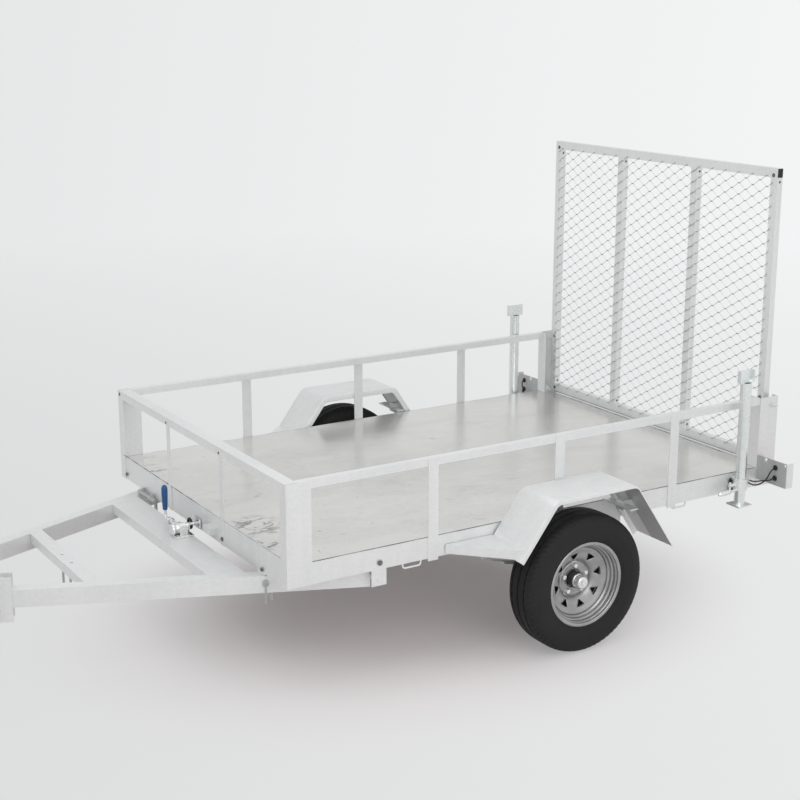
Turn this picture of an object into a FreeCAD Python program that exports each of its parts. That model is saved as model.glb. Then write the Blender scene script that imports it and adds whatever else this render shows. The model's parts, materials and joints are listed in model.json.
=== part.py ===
"""Single-axle tilting box trailer with a mesh ramp, as a parametric FreeCAD document.

+X points to the coupling, +Y to the trailer's left, +Z up, the floor is z = 0.
The origin is on the floor under the middle of the overall length.
Lengths along the trailer are written from the axle line and moved by axle_x.
"""
import FreeCAD, Part
import Sketcher
import math
import os
import re

V = FreeCAD.Vector

# ---------------------------------------------------------------- driving sizes
SIZES = [
    # alias, value in mm or degrees, what it is
    ("axle_x", -768, "axle line from the origin, along the trailer"),
    # box
    ("bed_front", 1223, "front face of the front posts ahead of the axle"),
    ("bed_rear", 1219, "rear face of the rear posts behind the axle"),
    ("bed_half", 811, "outer face of the posts from the centre line"),
    ("sill_bottom", 450, "underside of the side sills"),
    ("sill_height", 86, "height of the sills and end beams"),
    ("sill_flange", 45, "flange width of the sills and end beams"),
    ("sill_wall", 3, "wall of the sills and end beams"),
    ("lap_wall", 4, "thickness of the posts and upright bars"),
    ("deck_sheet", 3, "thickness of the deck sheet"),
    ("deck_margin", 6, "deck edge inside the outer face of the posts"),
    ("deck_rear", 1150, "rear edge of the deck behind the axle"),
    ("beam_rear", 1190, "rear face of the rear beam behind the axle"),
    ("front_lip", 22, "top edge of the front beam above the sills"),
    ("beam_drop", 6, "top of the rear beam below the top of the sills"),
    ("joist_width", 50, "width of a deck joist"),
    ("joist_depth", 40, "depth of a deck joist"),
    ("joist_wall", 2.5, "wall of a deck joist"),
    ("joist_first", 840, "front joist ahead of the axle"),
    ("joist_pitch", 560, "distance between joists"),
    ("end_play", 0.5, "gap left at the end of a butted piece"),
    # posts and rails
    ("rail_rise", 317, "top of the top rails above the sills"),
    ("rail_size", 30, "side of the square side rails"),
    ("front_rail_width", 50, "width of the front rail"),
    ("front_rail_height", 34, "height of the front rail"),
    ("rail_lap", 5, "upper end of a side upright below the top of the rails"),
    ("rail_wall", 2, "wall of the top rail"),
    ("post_side", 105, "side leg of a front post"),
    ("post_front", 50, "front leg of a front post"),
    ("rear_post_side", 103, "side leg of a rear post"),
    ("rear_post_flange", 34, "rear flange of a rear post"),
    ("rear_post_web", 60, "front flange of a rear post"),
    ("upright_width", 46, "width of an upright bar"),
    ("front_upright_width", 28, "width of a front upright"),
    ("upright_first", 588, "front side upright ahead of the axle"),
    ("upright_pitch", 606, "distance between side uprights"),
    ("front_upright", 257, "front upright from the centre line"),
    ("upright_lap", 10, "lower end of a side upright below the sill"),
    # ramp gate
    ("gate_clear", 5, "ramp edge inside the rear posts' flanges"),
    ("gate_setback", 19, "ramp's front face ahead of the rear beam's rear face"),
    ("gate_depth", 30, "thickness of the ramp frame"),
    ("gate_bar", 40, "width of the ramp frame's bars"),
    ("gate_wall", 2, "wall of the ramp frame's bars"),
    ("gate_lift", 15, "underside of the ramp above the rear beam"),
    ("gate_middle", 262, "middle of a ramp upright, one side"),
    ("gate_middle_other", 255, "middle of a ramp upright, other side"),
    ("gate_height", 1301, "height of the ramp"),
    ("mesh_thick", 3, "thickness of the expanded mesh"),
    ("mesh_inset", 12, "mesh edge inside the ramp frame's outline"),
    ("mesh_strand", 8, "width of a mesh strand"),
    ("mesh_long_pitch", 169, "distance between mesh openings across the ramp"),
    ("mesh_short_pitch", 106, "distance between mesh openings up the ramp"),
    ("vent_radius", 5.5, "radius of the vent holes in the ramp's uprights"),
    ("vent_margin", 58, "upper vent holes below the top of the ramp"),
    ("drain_margin", 54, "lower vent holes above the underside of the ramp"),
    ("hinge_pin", 8, "radius of the ramp's hinge pins"),
    ("pin_play", 0.05, "radial play of a pin in its hole"),
    ("latch_drop", 37, "latch pins below the top of the rails"),
    ("latch_pin", 6, "radius of a latch pin"),
    # wheels
    ("tyre_radius", 289, "outer radius of the tyre"),
    ("tyre_width", 163, "section width of the tyre"),
    ("tyre_shoulder", 27, "height of the tyre's shoulder bevel"),
    ("bead_set", 6, "tyre bead inside the rim's outer edge"),
    ("bead_drop", 11.5, "tyre bead below the rim's flange"),
    ("wheel_gap", 63.5, "gap between the posts' outer face and the tyre"),
    ("rim_radius", 177, "radius of the rim flange"),
    ("rim_half", 72, "half width over the rim flanges"),
    ("rim_wall", 4, "wall of the rim"),
    ("bore_radius", 38, "centre hole of the wheel disc"),
    ("stud_circle", 57.15, "radius of the wheel studs' circle"),
    ("disc_set", 86, "face of the disc's middle inside the rim's outer edge"),
    ("seat_radius", 66, "radius of the disc's flat seat"),
    ("vent_circle", 106, "radius of the vents' circle"),
    ("hub_radius", 33, "radius of the hub barrel"),
    ("cap_radius", 27, "radius of the dust cap"),
    ("cap_reach", 52, "end of the dust cap beyond the wheel's middle"),
    ("spindle_radius", 17, "radius of the axle's stub ends"),
    ("axle_size", 45, "side of the square axle beam"),
    ("axle_stub", 88, "end of the square beam inside the wheel's middle"),
    # springs
    ("spring_inset", 36, "leaf springs inside the posts' outer face"),
    ("spring_width", 45, "width of a spring leaf"),
    ("spring_leaf", 8, "thickness of a spring leaf"),
    ("spring_half", 330, "half length of the main leaf, eye to eye"),
    ("spring_arch", 62, "drop of the main leaf at the axle"),
    ("eye_radius", 15, "radius of a spring eye"),
    ("hanger_wall", 6, "thickness of a spring hanger's cheeks"),
    # mudguards
    ("guard_gap", 3, "mudguard beyond the posts' outer face"),
    ("guard_width", 226, "width of a mudguard"),
    ("guard_rise", 93, "top of a mudguard above the tyre"),
    ("guard_front", 173, "front fold of a mudguard ahead of the axle"),
    ("guard_rear", 235, "rear fold of a mudguard behind the axle"),
    ("guard_front_drop", 218, "height of the front slope"),
    ("guard_rear_drop", 299, "height of the rear slope"),
    ("guard_front_angle", 52.7, "front slope from level"),
    ("guard_rear_angle", 56, "rear slope from level"),
    ("guard_lip", 22, "down-turned lip of a mudguard"),
    ("guard_sheet", 2, "thickness of a mudguard"),
    ("step_drop", 177, "step plate below the top of the mudguard"),
    ("step_lip", 37, "lip of the step plate"),
    ("step_front", 532, "front end of the step plate ahead of the axle"),
    # drawbar
    ("bar_inset", 201, "drawbar's outer edge inside the posts' outer face, at the front"),
    ("bar_angle", 22.53, "drawbar member from the trailer's length"),
    ("bar_gap", 12, "top of the drawbar members below the sills"),
    ("bar_depth", 68, "depth of a drawbar member"),
    ("bar_width", 50, "width of a drawbar member"),
    ("bar_wall", 3, "wall of a drawbar member"),
    ("bar_nose", 42.9313, "outer edge of a drawbar member beside the middle line at its front end"),
    ("cross_front", 1817, "front edge of the front cross channel"),
    ("cross_front_width", 56, "width of the front cross channel"),
    ("cross_rear", 1395, "front edge of the rear cross channel"),
    ("cross_rear_width", 133, "width of the rear cross channel"),
    ("cross_depth", 40, "depth of the cross channels"),
    ("cross_wall", 4, "wall of the cross channels"),
    ("pad_length", 60, "packing plates between the drawbar and the front beam"),
    ("pivot_x", 832, "tilt pivot ahead of the axle"),
    ("pivot_drop", 39, "tilt pivot below the sills"),
    ("pivot_pin", 8, "radius of a pivot bolt"),
    ("sleeve_radius", 16, "radius of the pivot sleeves"),
    ("bracket_length", 65, "length of a pivot bracket"),
    ("bracket_drop", 64, "depth of a pivot bracket below the sill"),
    ("bracket_wall", 5, "wall of a pivot bracket"),
    # coupling
    ("ball_reach", 125, "centre of the tow ball ahead of the drawbar members' front end"),
    ("ball_radius", 25, "radius of the tow ball's socket"),
    # drop legs
    ("leg_x", 985, "drop legs behind the axle"),
    ("leg_gap", 11.85, "gap between a leg tube and the posts' outer face"),
    ("leg_radius", 24.15, "radius of a leg tube"),
    ("leg_wall", 3.2, "wall of a leg tube"),
    ("leg_lift", 52, "underside of a raised foot below the sills"),
    ("leg_length", 552, "length of a leg tube"),
    ("foot_size", 78, "side of a foot plate"),
    ("cradle_width", 84, "width of the cradle on top of a leg"),
    ("cradle_depth", 20, "depth of the cradle"),
    ("cradle_height", 55, "height of the cradle"),
    ("cradle_wall", 5, "wall of the cradle"),
    ("collar_play", 0.35, "radial play of a leg in its collar"),
    ("collar_wall", 6, "wall of a leg collar"),
    ("collar_height", 50, "height of a leg collar"),
    ("collar_lift", 20, "underside of a leg collar above the sills' underside"),
    # lamps
    ("lamp_x", 1113, "front face of a lamp bracket behind the axle"),
    ("lamp_width", 179, "width of a lamp bracket"),
    ("lamp_lift", 37, "underside of a lamp bracket above the sills' underside"),
    ("lamp_height", 111, "height of a lamp bracket"),
    ("lamp_return", 42, "depth of a lamp bracket's outer flange"),
    ("lamp_margin", 16, "lamp inside its bracket's upper and lower edges"),
    ("lamp_wall", 3, "thickness of a lamp bracket"),
    ("lead_radius", 3, "radius of a lamp lead"),
    # jockey wheel
    ("jockey_along", 1020, "jockey tube along the drawbar from the front posts"),
    ("jockey_out", 50, "jockey tube outboard of the drawbar"),
    ("jockey_reach", 98, "half length of the jockey bracket's base plate"),
    ("jockey_plate", 8, "thickness of the jockey bracket's plates"),
    ("jockey_tube", 28, "radius of the jockey's outer tube"),
    ("jockey_leg", 22, "radius of the jockey's inner leg"),
    ("jockey_gap", 1, "radial gap between the jockey's leg and tube"),
    ("jockey_wheel", 75, "radius of the jockey wheel"),
    ("jockey_trail", 45, "jockey wheel ahead of its leg"),
    ("jockey_reach_up", 390, "length of the jockey's inner leg"),
    ("jockey_swing_drop", 34, "jockey swing pivot below the drawbar's top"),
]

# lengths that follow from those above
FOLLOWS = {
    "sill_top": "sill_bottom + sill_height",
    "sill_face": "bed_half - lap_wall",
    "flange_edge": "bed_half - lap_wall - sill_flange",
    "front_face": "bed_front - lap_wall",
    "deck_top": "sill_top + deck_sheet",
    "beam_top": "sill_top - beam_drop",
    "sill_rear": "beam_rear - sill_flange - end_play",
    "rail_top": "sill_top + rail_rise",
    "rail_bottom": "rail_top - rail_size",
    "front_rail_bottom": "rail_top - front_rail_height",
    "rear_post_front": "rear_post_side - bed_rear",
    "gate_half": "bed_half - rear_post_flange - gate_clear",
    "gate_face": "beam_rear - gate_setback",
    "gate_bottom": "beam_top + gate_lift",
    "gate_top": "gate_bottom + gate_height",
    "hinge_z": "gate_bottom + gate_depth / 2",
    "hinge_setback": "gate_face + gate_depth / 2",
    "latch_z": "rail_top - latch_drop",
    "wheel_y": "bed_half + wheel_gap + tyre_width / 2",
    "axle_top": "tyre_radius + axle_size / 2",
    "axle_half": "wheel_y - axle_stub",
    "spring_y": "bed_half - spring_inset",
    "disc_back": "rim_half - disc_set - rim_wall",
    "guard_inner": "bed_half + guard_gap",
    "guard_outer": "guard_inner + guard_width",
    "guard_top": "2 * tyre_radius + guard_rise",
    "guard_front_foot": "guard_top - guard_front_drop",
    "guard_rear_foot": "guard_top - guard_rear_drop",
    "step_top": "guard_top - step_drop",
    "bar_half": "bed_half - bar_inset",
    "bar_end": "bed_front + (bar_half - bar_nose) / tan(bar_angle)",
    "ball_x": "bar_end + ball_reach",
    "bar_top": "sill_bottom - bar_gap",
    "pivot_z": "sill_bottom - pivot_drop",
    "bracket_inner": "bar_half + 80",
    "leg_y": "bed_half + leg_gap + leg_radius",
    "leg_foot": "sill_bottom - leg_lift",
    "leg_top": "leg_foot + leg_length",
    "collar_bottom": "sill_bottom + collar_lift",
    "lamp_bottom": "sill_bottom + lamp_lift",
    "jockey_swing_z": "bar_top - jockey_swing_drop",
}

# ---------------------------------------------------------------- document and helpers
doc = FreeCAD.newDocument("utility_trailer")
sheet = doc.addObject("Spreadsheet::Sheet", "sizes")
for row, (alias, value, meaning) in enumerate(SIZES, 1):
    sheet.set(f"A{row}", meaning)
    sheet.set(f"B{row}", str(value))
    sheet.setAlias(f"B{row}", alias)
doc.recompute()

ALIASES = {alias for alias, value, meaning in SIZES}
NODES = []


def tied(text):
    """An expression in which every size's name points at its cell of the sheet."""
    def spelled_out(match):
        name = match.group()
        if name in FOLLOWS:
            return f"({tied(FOLLOWS[name])})"
        return f"sizes.{name}" if name in ALIASES else name
    return re.sub(r"[a-z_]+", spelled_out, str(text))


def number(text):
    """The present value of such an expression."""
    return float(sheet.evalExpression(tied(text)))


def bind(obj, **expressions):
    """Tie properties of an object to expressions."""
    for prop, text in expressions.items():
        obj.setExpression(prop, tied(text))
    return obj


def place(obj, x="0", y="0", z="0", base="axle_x"):
    """Tie an object's place; x counts from the base, which is the axle line unless it is given."""
    obj.setExpression("Placement.Base.x", tied(f"{base} + {x}"))
    obj.setExpression("Placement.Base.y", tied(y))
    obj.setExpression("Placement.Base.z", tied(z))
    return obj


def box(x, y, z, base="axle_x"):
    """A box from three (low, high) pairs of expressions."""
    obj = doc.addObject("Part::Box", "box")
    bind(obj, Length=f"({x[1]}) - ({x[0]})", Width=f"({y[1]}) - ({y[0]})", Height=f"({z[1]}) - ({z[0]})")
    return place(obj, x[0], y[0], z[0], base)


TURNS = {
    "x": FreeCAD.Rotation(V(0, 1, 0), 90),
    "y": FreeCAD.Rotation(V(1, 0, 0), -90),
    "z": FreeCAD.Rotation(),
}


def rod(axis, radius, start, end, x="0", y="0", z="0", base="axle_x"):
    """A cylinder along an axis, from start to end on it; the other two coordinates are its centre."""
    obj = doc.addObject("Part::Cylinder", "rod")
    obj.Placement = FreeCAD.Placement(V(0, 0, 0), TURNS[axis])
    bind(obj, Radius=radius, Height=f"({end}) - ({start})")
    at = {"x": x, "y": y, "z": z}
    at[axis] = start
    return place(obj, at["x"], at["y"], at["z"], base)


def fuse(*pieces):
    obj = doc.addObject("Part::MultiFuse", "fuse")
    obj.Shapes = list(pieces)
    return obj


def cut(base, *tools):
    obj = doc.addObject("Part::Cut", "cut")
    obj.Base = base
    obj.Tool = tools[0] if len(tools) == 1 else fuse(*tools)
    return obj


def common(*pieces):
    obj = doc.addObject("Part::MultiCommon", "common")
    obj.Shapes = list(pieces)
    return obj


def group(*pieces):
    """Like pieces that don't touch, kept as one sub-part."""
    obj = doc.addObject("Part::Compound", "group")
    obj.Links = list(pieces)
    return obj


def mirrored(piece):
    """The same piece on the right-hand side, mirrored in the plane y = 0."""
    obj = doc.addObject("Part::Mirroring", "mirrored")
    obj.Source = piece
    obj.Normal = V(0, 1, 0)
    return obj


def node(label, piece):
    """Name a finished sub-part, which also names its file."""
    piece.Label = label
    NODES.append(piece)
    return piece


def hollow_bar(x, y, z, along, wall, base="axle_x"):
    """A rectangular tube filling three (low, high) spans, open along one axis."""
    spans = {"x": x, "y": y, "z": z}
    inner = {}
    for axis, (low, high) in spans.items():
        grow = "1" if axis == along else f"-({wall})"
        inner[axis] = (f"({low}) - ({grow})", f"({high}) + ({grow})")
    return cut(box(x, y, z, base), box(inner["x"], inner["y"], inner["z"], base))


def pipe(axis, radius, wall, start, end, x="0", y="0", z="0", base="axle_x"):
    """A round tube along an axis."""
    bore = rod(axis, f"{radius} - ({wall})", f"{start} - 1", f"{end} + 1", x, y, z, base)
    return cut(rod(axis, radius, start, end, x, y, z, base), bore)


def hanging_loop(along, low, high, bottom, top, radius, bend, across):
    """A rod bent into a U: two legs down from top, two quarter bends and a straight run at bottom."""
    other = "y" if along == "x" else "x"
    runs = [rod(along, radius, f"{low} + {bend}", f"{high} - {bend}", **{other: across, "z": bottom})]
    upright = FreeCAD.Rotation(V(0, 0, 1), 0 if along == "x" else 90).multiply(FreeCAD.Rotation(V(1, 0, 0), 90))
    for at, inward, turn in ((low, "+", 180), (high, "-", 270)):
        runs.append(rod("z", radius, f"{bottom} + {bend}", top, **{other: across, along: at}))
        quarter = doc.addObject("Part::Torus", "bend")
        bind(quarter, Radius1=bend, Radius2=radius)
        quarter.Angle3 = 90
        quarter.Placement = FreeCAD.Placement(V(0, 0, 0), upright.multiply(FreeCAD.Rotation(V(0, 0, 1), turn)))
        spot = {other: across, along: f"{at} {inward} {bend}"}
        runs.append(place(quarter, z=f"{bottom} + {bend}", **spot))
    return fuse(*runs)


def body(name):
    return doc.addObject("PartDesign::Body", name)


def outline(owner, plane, points):
    """A closed sketch of straight lines on an origin plane, every corner tied to two expressions."""
    sketch = owner.newObject("Sketcher::SketchObject", "outline")
    base = [feature for feature in owner.Origin.OriginFeatures if feature.Role == plane][0]
    sketch.AttachmentSupport = [(base, "")]
    sketch.MapMode = "FlatFace"
    corners = [V(number(a), number(b), 0) for a, b in points]
    for index, corner in enumerate(corners):
        following = corners[(index + 1) % len(corners)]
        sketch.addGeometry(Part.LineSegment(corner, following), False)
    for index in range(len(corners)):
        sketch.addConstraint(Sketcher.Constraint("Coincident", index, 2, (index + 1) % len(corners), 1))
    for index, corner in enumerate(corners):
        for kind, value, text in (("DistanceX", corner.x, points[index][0]),
                                  ("DistanceY", corner.y, points[index][1])):
            made = sketch.addConstraint(Sketcher.Constraint(kind, -1, 1, index, 1, value))
            sketch.setExpression(f"Constraints[{made}]", tied(text))
    return sketch


def padded(owner, sketch, length):
    """Pad a sketch by the same amount to both sides of its plane."""
    pad = owner.newObject("PartDesign::Pad", "pad")
    pad.Profile = sketch
    pad.SideType = "Symmetric"
    return bind(pad, Length=length)


def pocketed(owner, sketch, length):
    """Cut a sketch out to both sides of its plane."""
    pocket = owner.newObject("PartDesign::Pocket", "pocket")
    pocket.Profile = sketch
    pocket.SideType = "Symmetric"
    return bind(pocket, Length=length)


def turned(owner, sketch):
    """Turn a sketch on the YZ plane about the Y axis."""
    turning = owner.newObject("PartDesign::Revolution", "turning")
    turning.Profile = sketch
    turning.ReferenceAxis = (sketch, ["H_Axis"])
    turning.Angle = 360
    return turning


def extruded(name, plane, points, length):
    """A body padded from one closed outline."""
    owner = body(name)
    padded(owner, outline(owner, plane, points), length)
    return owner


# ---------------------------------------------------------------- box: sills, beams, deck


def channel_points(face, lip, low, high, wall):
    """Outline of a C section with its back at face and its flanges ending at lip."""
    side = 1 if number(face) > number(lip) else -1
    back = f"({face}) - {side} * ({wall})"
    return [(face, low), (face, high), (lip, high), (lip, f"({high}) - ({wall})"),
            (back, f"({high}) - ({wall})"), (back, f"({low}) + {wall}"), (lip, f"({low}) + {wall}"), (lip, low)]


sill = extruded("sill", "YZ_Plane", channel_points("sill_face", "flange_edge", "sill_bottom", "sill_top", "sill_wall"),
                "front_face + sill_rear")
place(sill, "(front_face - sill_rear) / 2")
node("side_sills", group(sill, mirrored(sill)))

front_channel = extruded("front_channel", "XZ_Plane",
                      channel_points("front_face", "front_face - sill_flange", "sill_bottom", "sill_top", "sill_wall"),
                      "2 * (flange_edge - end_play)")
place(front_channel)
node("front_beam", fuse(front_channel, box(("front_face - sill_wall", "front_face"),
                                           ("-flange_edge + end_play", "flange_edge - end_play"),
                                           ("sill_top - sill_wall", "sill_top + front_lip"))))

rear_beam = extruded("rear_beam", "XZ_Plane",
                     channel_points("-beam_rear", "-beam_rear + sill_flange", "sill_bottom", "beam_top", "sill_wall"),
                     "2 * (sill_face - end_play)")
place(rear_beam)
node("rear_beam", rear_beam)

joists = []
for step in range(4):
    middle = f"(joist_first - {step} * joist_pitch)"
    joists.append(hollow_bar((f"{middle} - joist_width / 2", f"{middle} + joist_width / 2"),
                             ("-flange_edge + end_play", "flange_edge - end_play"),
                             ("sill_top - joist_depth", "sill_top"), "y", "joist_wall"))
node("deck_joists", group(*joists))

notch = box(("-deck_rear - 1", "rear_post_front + end_play"),
            ("bed_half - rear_post_web - end_play", "bed_half"), ("sill_top - 1", "deck_top + 1"))
node("deck_sheet", cut(box(("-deck_rear", "front_face - sill_wall - end_play"),
                           ("-bed_half + deck_margin", "bed_half - deck_margin"), ("sill_top", "deck_top")),
                       notch, mirrored(notch)))

# ---------------------------------------------------------------- box: posts, rails, uprights


# a front post is folded: a leg along the side up to the rails' top, and a leg across under the front rail
front_post = fuse(box(("bed_front - post_side", "bed_front"), ("sill_face", "bed_half"), ("sill_bottom", "rail_top")),
                  box(("front_face", "bed_front"), ("bed_half - post_front", "bed_half"),
                      ("sill_bottom", "front_rail_bottom")))
node("front_posts", group(front_post, mirrored(front_post)))

hinge_hole = rod("y", "hinge_pin + pin_play", "bed_half - 2 * lap_wall", "bed_half + lap_wall",
                 x="(-gate_face - gate_depth / 2)", z="hinge_z")
latch_hole = rod("y", "latch_pin + pin_play", "bed_half - 2 * lap_wall", "bed_half + lap_wall",
                 x="-hinge_setback", z="latch_z")
rear_post = cut(fuse(box(("-bed_rear", "rear_post_front"), ("bed_half - lap_wall", "bed_half"), ("sill_bottom", "rail_top")),
                     box(("-bed_rear", "-bed_rear + lap_wall"), ("bed_half - rear_post_flange", "bed_half"),
                         ("sill_bottom", "rail_top")),
                     box(("rear_post_front - lap_wall", "rear_post_front"), ("bed_half - rear_post_web", "bed_half"),
                         ("sill_top", "rail_top"))),
                hinge_hole, latch_hole)
node("rear_posts", group(rear_post, mirrored(rear_post)))

top_rail = hollow_bar(("rear_post_front + end_play", "bed_front - front_rail_width - end_play"),
                      ("sill_face - rail_size", "sill_face"), ("rail_bottom", "rail_top"), "x", "rail_wall")
node("top_rails", group(top_rail, mirrored(top_rail)))
node("front_rail", hollow_bar(("bed_front - front_rail_width", "bed_front"), ("-sill_face + end_play", "sill_face - end_play"),
                              ("front_rail_bottom", "rail_top"), "y", "rail_wall"))

bars = []
for step in range(3):
    middle = f"(upright_first - {step} * upright_pitch)"
    bars.append(box((f"{middle} - upright_width / 2", f"{middle} + upright_width / 2"),
                    ("sill_face", "bed_half"), ("sill_bottom - upright_lap", "rail_top - rail_lap")))
uprights = group(*bars)
node("side_uprights", group(uprights, mirrored(uprights)))
node("front_uprights", group(*[
    box(("front_face", "bed_front"), (f"{side} * front_upright - front_upright_width / 2",
                                    f"{side} * front_upright + front_upright_width / 2"),
        ("sill_bottom", "front_rail_bottom"))
    for side in (-1, 1)]))

# ---------------------------------------------------------------- axle and springs
node("axle_beam", fuse(
    box(("-axle_size / 2", "axle_size / 2"), ("-axle_half", "axle_half"),
        ("tyre_radius - axle_size / 2", "axle_top")),
    rod("y", "spindle_radius", "-wheel_y - rim_half / 2", "wheel_y + rim_half / 2", z="tyre_radius")))

# the main leaf is an arc through its two ends and its seat: radius from half chord and arch
LEAF_RADIUS = "((spring_half ^ 2 + spring_arch ^ 2) / (2 * spring_arch))"
LEAVES = 3
ARC_Z = f"(axle_top + {LEAVES} * spring_leaf + {LEAF_RADIUS})"
EYE_Z = f"(axle_top + {LEAVES - 1} * spring_leaf + spring_arch + eye_radius)"
SPRING_SPAN = ("spring_y - spring_width / 2", "spring_y + spring_width / 2")
EYE_ENDS = ("spring_half", "-spring_half")

layers = []
for order in range(LEAVES):
    # leaves lie one under the other on one centre, each shorter than the one above
    ring = pipe("y", f"{LEAF_RADIUS} + {order + 1} * spring_leaf", "spring_leaf", *SPRING_SPAN, z=ARC_Z)
    half = f"(spring_half * {1 - 0.27 * order})"
    layers.append(common(ring, box((f"-{half}", half), SPRING_SPAN, ("axle_top", ARC_Z))))
eyes = [rod("y", "eye_radius", *SPRING_SPAN, x=end, z=EYE_Z) for end in EYE_ENDS]
eye_bores = [rod("y", "hinge_pin + collar_play", "spring_y - spring_width", "spring_y + spring_width",
                 x=end, z=EYE_Z) for end in EYE_ENDS]
spring = cut(fuse(*layers, *eyes), *eye_bores)
node("leaf_springs", group(spring, mirrored(spring)))

hangers = []
for end in EYE_ENDS:
    length = (f"{end} - eye_radius - 4", f"{end} + eye_radius + 4")
    cheeks = []
    for side in (-1, 1):
        inner = f"spring_y + {side} * (spring_width / 2 + 1)"
        outer = f"spring_y + {side} * (spring_width / 2 + 1 + hanger_wall)"
        low, high = (outer, inner) if side < 0 else (inner, outer)
        cheeks.append(box(length, (low, high), (f"{EYE_Z} - eye_radius", "sill_bottom")))
    saddle = box(length, ("spring_y - spring_width / 2 - 1 - hanger_wall",
                          "spring_y + spring_width / 2 + 1 + hanger_wall"),
                 ("sill_bottom - hanger_wall", "sill_bottom"))
    bolt = rod("y", "hinge_pin", "spring_y - spring_width / 2 - hanger_wall - 8",
               "spring_y + spring_width / 2 + hanger_wall + 8", x=end, z=EYE_Z)
    hangers.append(fuse(*cheeks, saddle, bolt))
left_hangers = group(*hangers)
node("spring_hangers", group(left_hangers, mirrored(left_hangers)))

# ---------------------------------------------------------------- wheels
def tyre():
    """Tyre turned about its axle: bead, lower side, flat side, shoulder bevel and tread."""
    half = "tyre_width / 2"
    side = [("rim_half - bead_set", "rim_radius - bead_drop"), ("rim_half - bead_set", "rim_radius + 3"),
            (half, "rim_radius + 26"), (half, "tyre_radius - tyre_shoulder"),
            (f"{half} - 0.87 * tyre_shoulder", "tyre_radius")]
    other_side = [(f"-({across})", up) for across, up in reversed(side)]
    owner = body("tyre")
    turned(owner, outline(owner, "YZ_Plane", side + other_side))
    return owner


def rim():
    """Drop-centre rim with a dished disc welded into it and eight three-cornered vents."""
    barrel = [("-rim_half", "rim_radius"), ("-rim_half + 5", "rim_radius"), ("-rim_half + 5", "rim_radius - 12"),
              ("-rim_half + 34", "rim_radius - 14"), ("-rim_half + 44", "rim_radius - 30"),
              ("rim_half - 50", "rim_radius - 30"), ("rim_half - 38", "rim_radius - 14"),
              ("rim_half - 5", "rim_radius - 12"), ("rim_half - 5", "rim_radius"), ("rim_half", "rim_radius"),
              ("rim_half", "rim_radius - 12 - rim_wall"), ("rim_half - 39", "rim_radius - 14 - rim_wall"),
              ("rim_half - 51", "rim_radius - 30 - rim_wall"), ("-rim_half + 45", "rim_radius - 30 - rim_wall"),
              ("-rim_half + 35", "rim_radius - 14 - rim_wall"), ("-rim_half", "rim_radius - 12 - rim_wall")]
    disc = [("rim_half - 70", "rim_radius - 33"), ("rim_half - 52", "rim_radius - 33"),
            ("rim_half - 54", "rim_radius - 46"), ("rim_half - 60", "rim_radius - 68"),
            ("rim_half - 78", "seat_radius + 12"), ("rim_half - disc_set", "seat_radius + 4"),
            ("rim_half - disc_set", "bore_radius"), ("rim_half - disc_set - rim_wall", "bore_radius"),
            ("rim_half - disc_set - rim_wall", "seat_radius + 8"), ("rim_half - 82", "seat_radius + 16"),
            ("rim_half - 64", "rim_radius - 68"), ("rim_half - 60", "rim_radius - 46")]
    owner = body("rim")
    turned(owner, outline(owner, "YZ_Plane", barrel))
    turned(owner, outline(owner, "YZ_Plane", disc))
    vent = outline(owner, "XZ_Plane", [("-16", "vent_circle + 11"), ("16", "vent_circle + 11"),
                                       ("3", "vent_circle - 14"), ("-3", "vent_circle - 14")])
    pocket = pocketed(owner, vent, "2 * rim_half")
    ring = owner.newObject("PartDesign::PolarPattern", "vents")
    ring.Originals = [pocket]
    ring.Axis = (vent, ["N_Axis"])
    ring.Angle = 360
    ring.Occurrences = 8
    owner.Tip = ring
    return owner


def hub():
    """Barrel on the stub end, flange behind the disc, dust cap and five studs with nuts."""
    barrel = rod("y", "hub_radius", "disc_back - 62", "disc_back + 34", base="0")
    flange = rod("y", "seat_radius", "disc_back - 12", "disc_back", base="0")
    cap = rod("y", "cap_radius", "disc_back + 34", "cap_reach", base="0")
    crown = rod("y", "cap_radius - 5", "cap_reach", "cap_reach + 4", base="0")
    nuts = []
    for count in range(5):
        spot = {"x": f"stud_circle * sin({count} * 72)", "z": f"stud_circle * cos({count} * 72)", "base": "0"}
        nuts.append(rod("y", "6", "disc_back + rim_wall", "disc_back + rim_wall + 24", **spot))
        nuts.append(rod("y", "9.5", "disc_back + rim_wall", "disc_back + rim_wall + 16", **spot))
    bore = rod("y", "spindle_radius + pin_play", "disc_back - 63", "rim_half / 2 + 1", base="0")
    return group(cut(fuse(barrel, flange, cap, crown), bore), *[fuse(*nuts[i:i + 2]) for i in range(0, 10, 2)])


for side, name in ((1, "left"), (-1, "right")):
    for kind, make in (("tyre", tyre), ("rim", rim), ("hub", hub)):
        piece = make()
        piece.Placement = FreeCAD.Placement(V(0, 0, 0), FreeCAD.Rotation(V(0, 0, 1), 0 if side > 0 else 180))
        place(piece, "0", f"{side} * wheel_y", "tyre_radius")
        node(f"{kind}_{name}", piece)

# ---------------------------------------------------------------- mudguards
GUARD_WIDTH = "(guard_outer - guard_inner)"
GUARD_MIDDLE = "((guard_outer + guard_inner) / 2)"


def guard_line(depth):
    """The mudguard's folded line from front foot to rear foot, set in by a depth."""
    foot_x = "(guard_front + (guard_top - guard_front_foot) / tan(guard_front_angle))"
    tail_x = "(guard_rear + (guard_top - guard_rear_foot) / tan(guard_rear_angle))"
    return [(f"{foot_x} - ({depth}) / sin(guard_front_angle)", "guard_front_foot"),
            (f"guard_front - ({depth}) * tan(guard_front_angle / 2)", f"guard_top - ({depth})"),
            (f"-guard_rear + ({depth}) * tan(guard_rear_angle / 2)", f"guard_top - ({depth})"),
            (f"-{tail_x} + ({depth}) / sin(guard_rear_angle)", "guard_rear_foot")]


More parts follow.
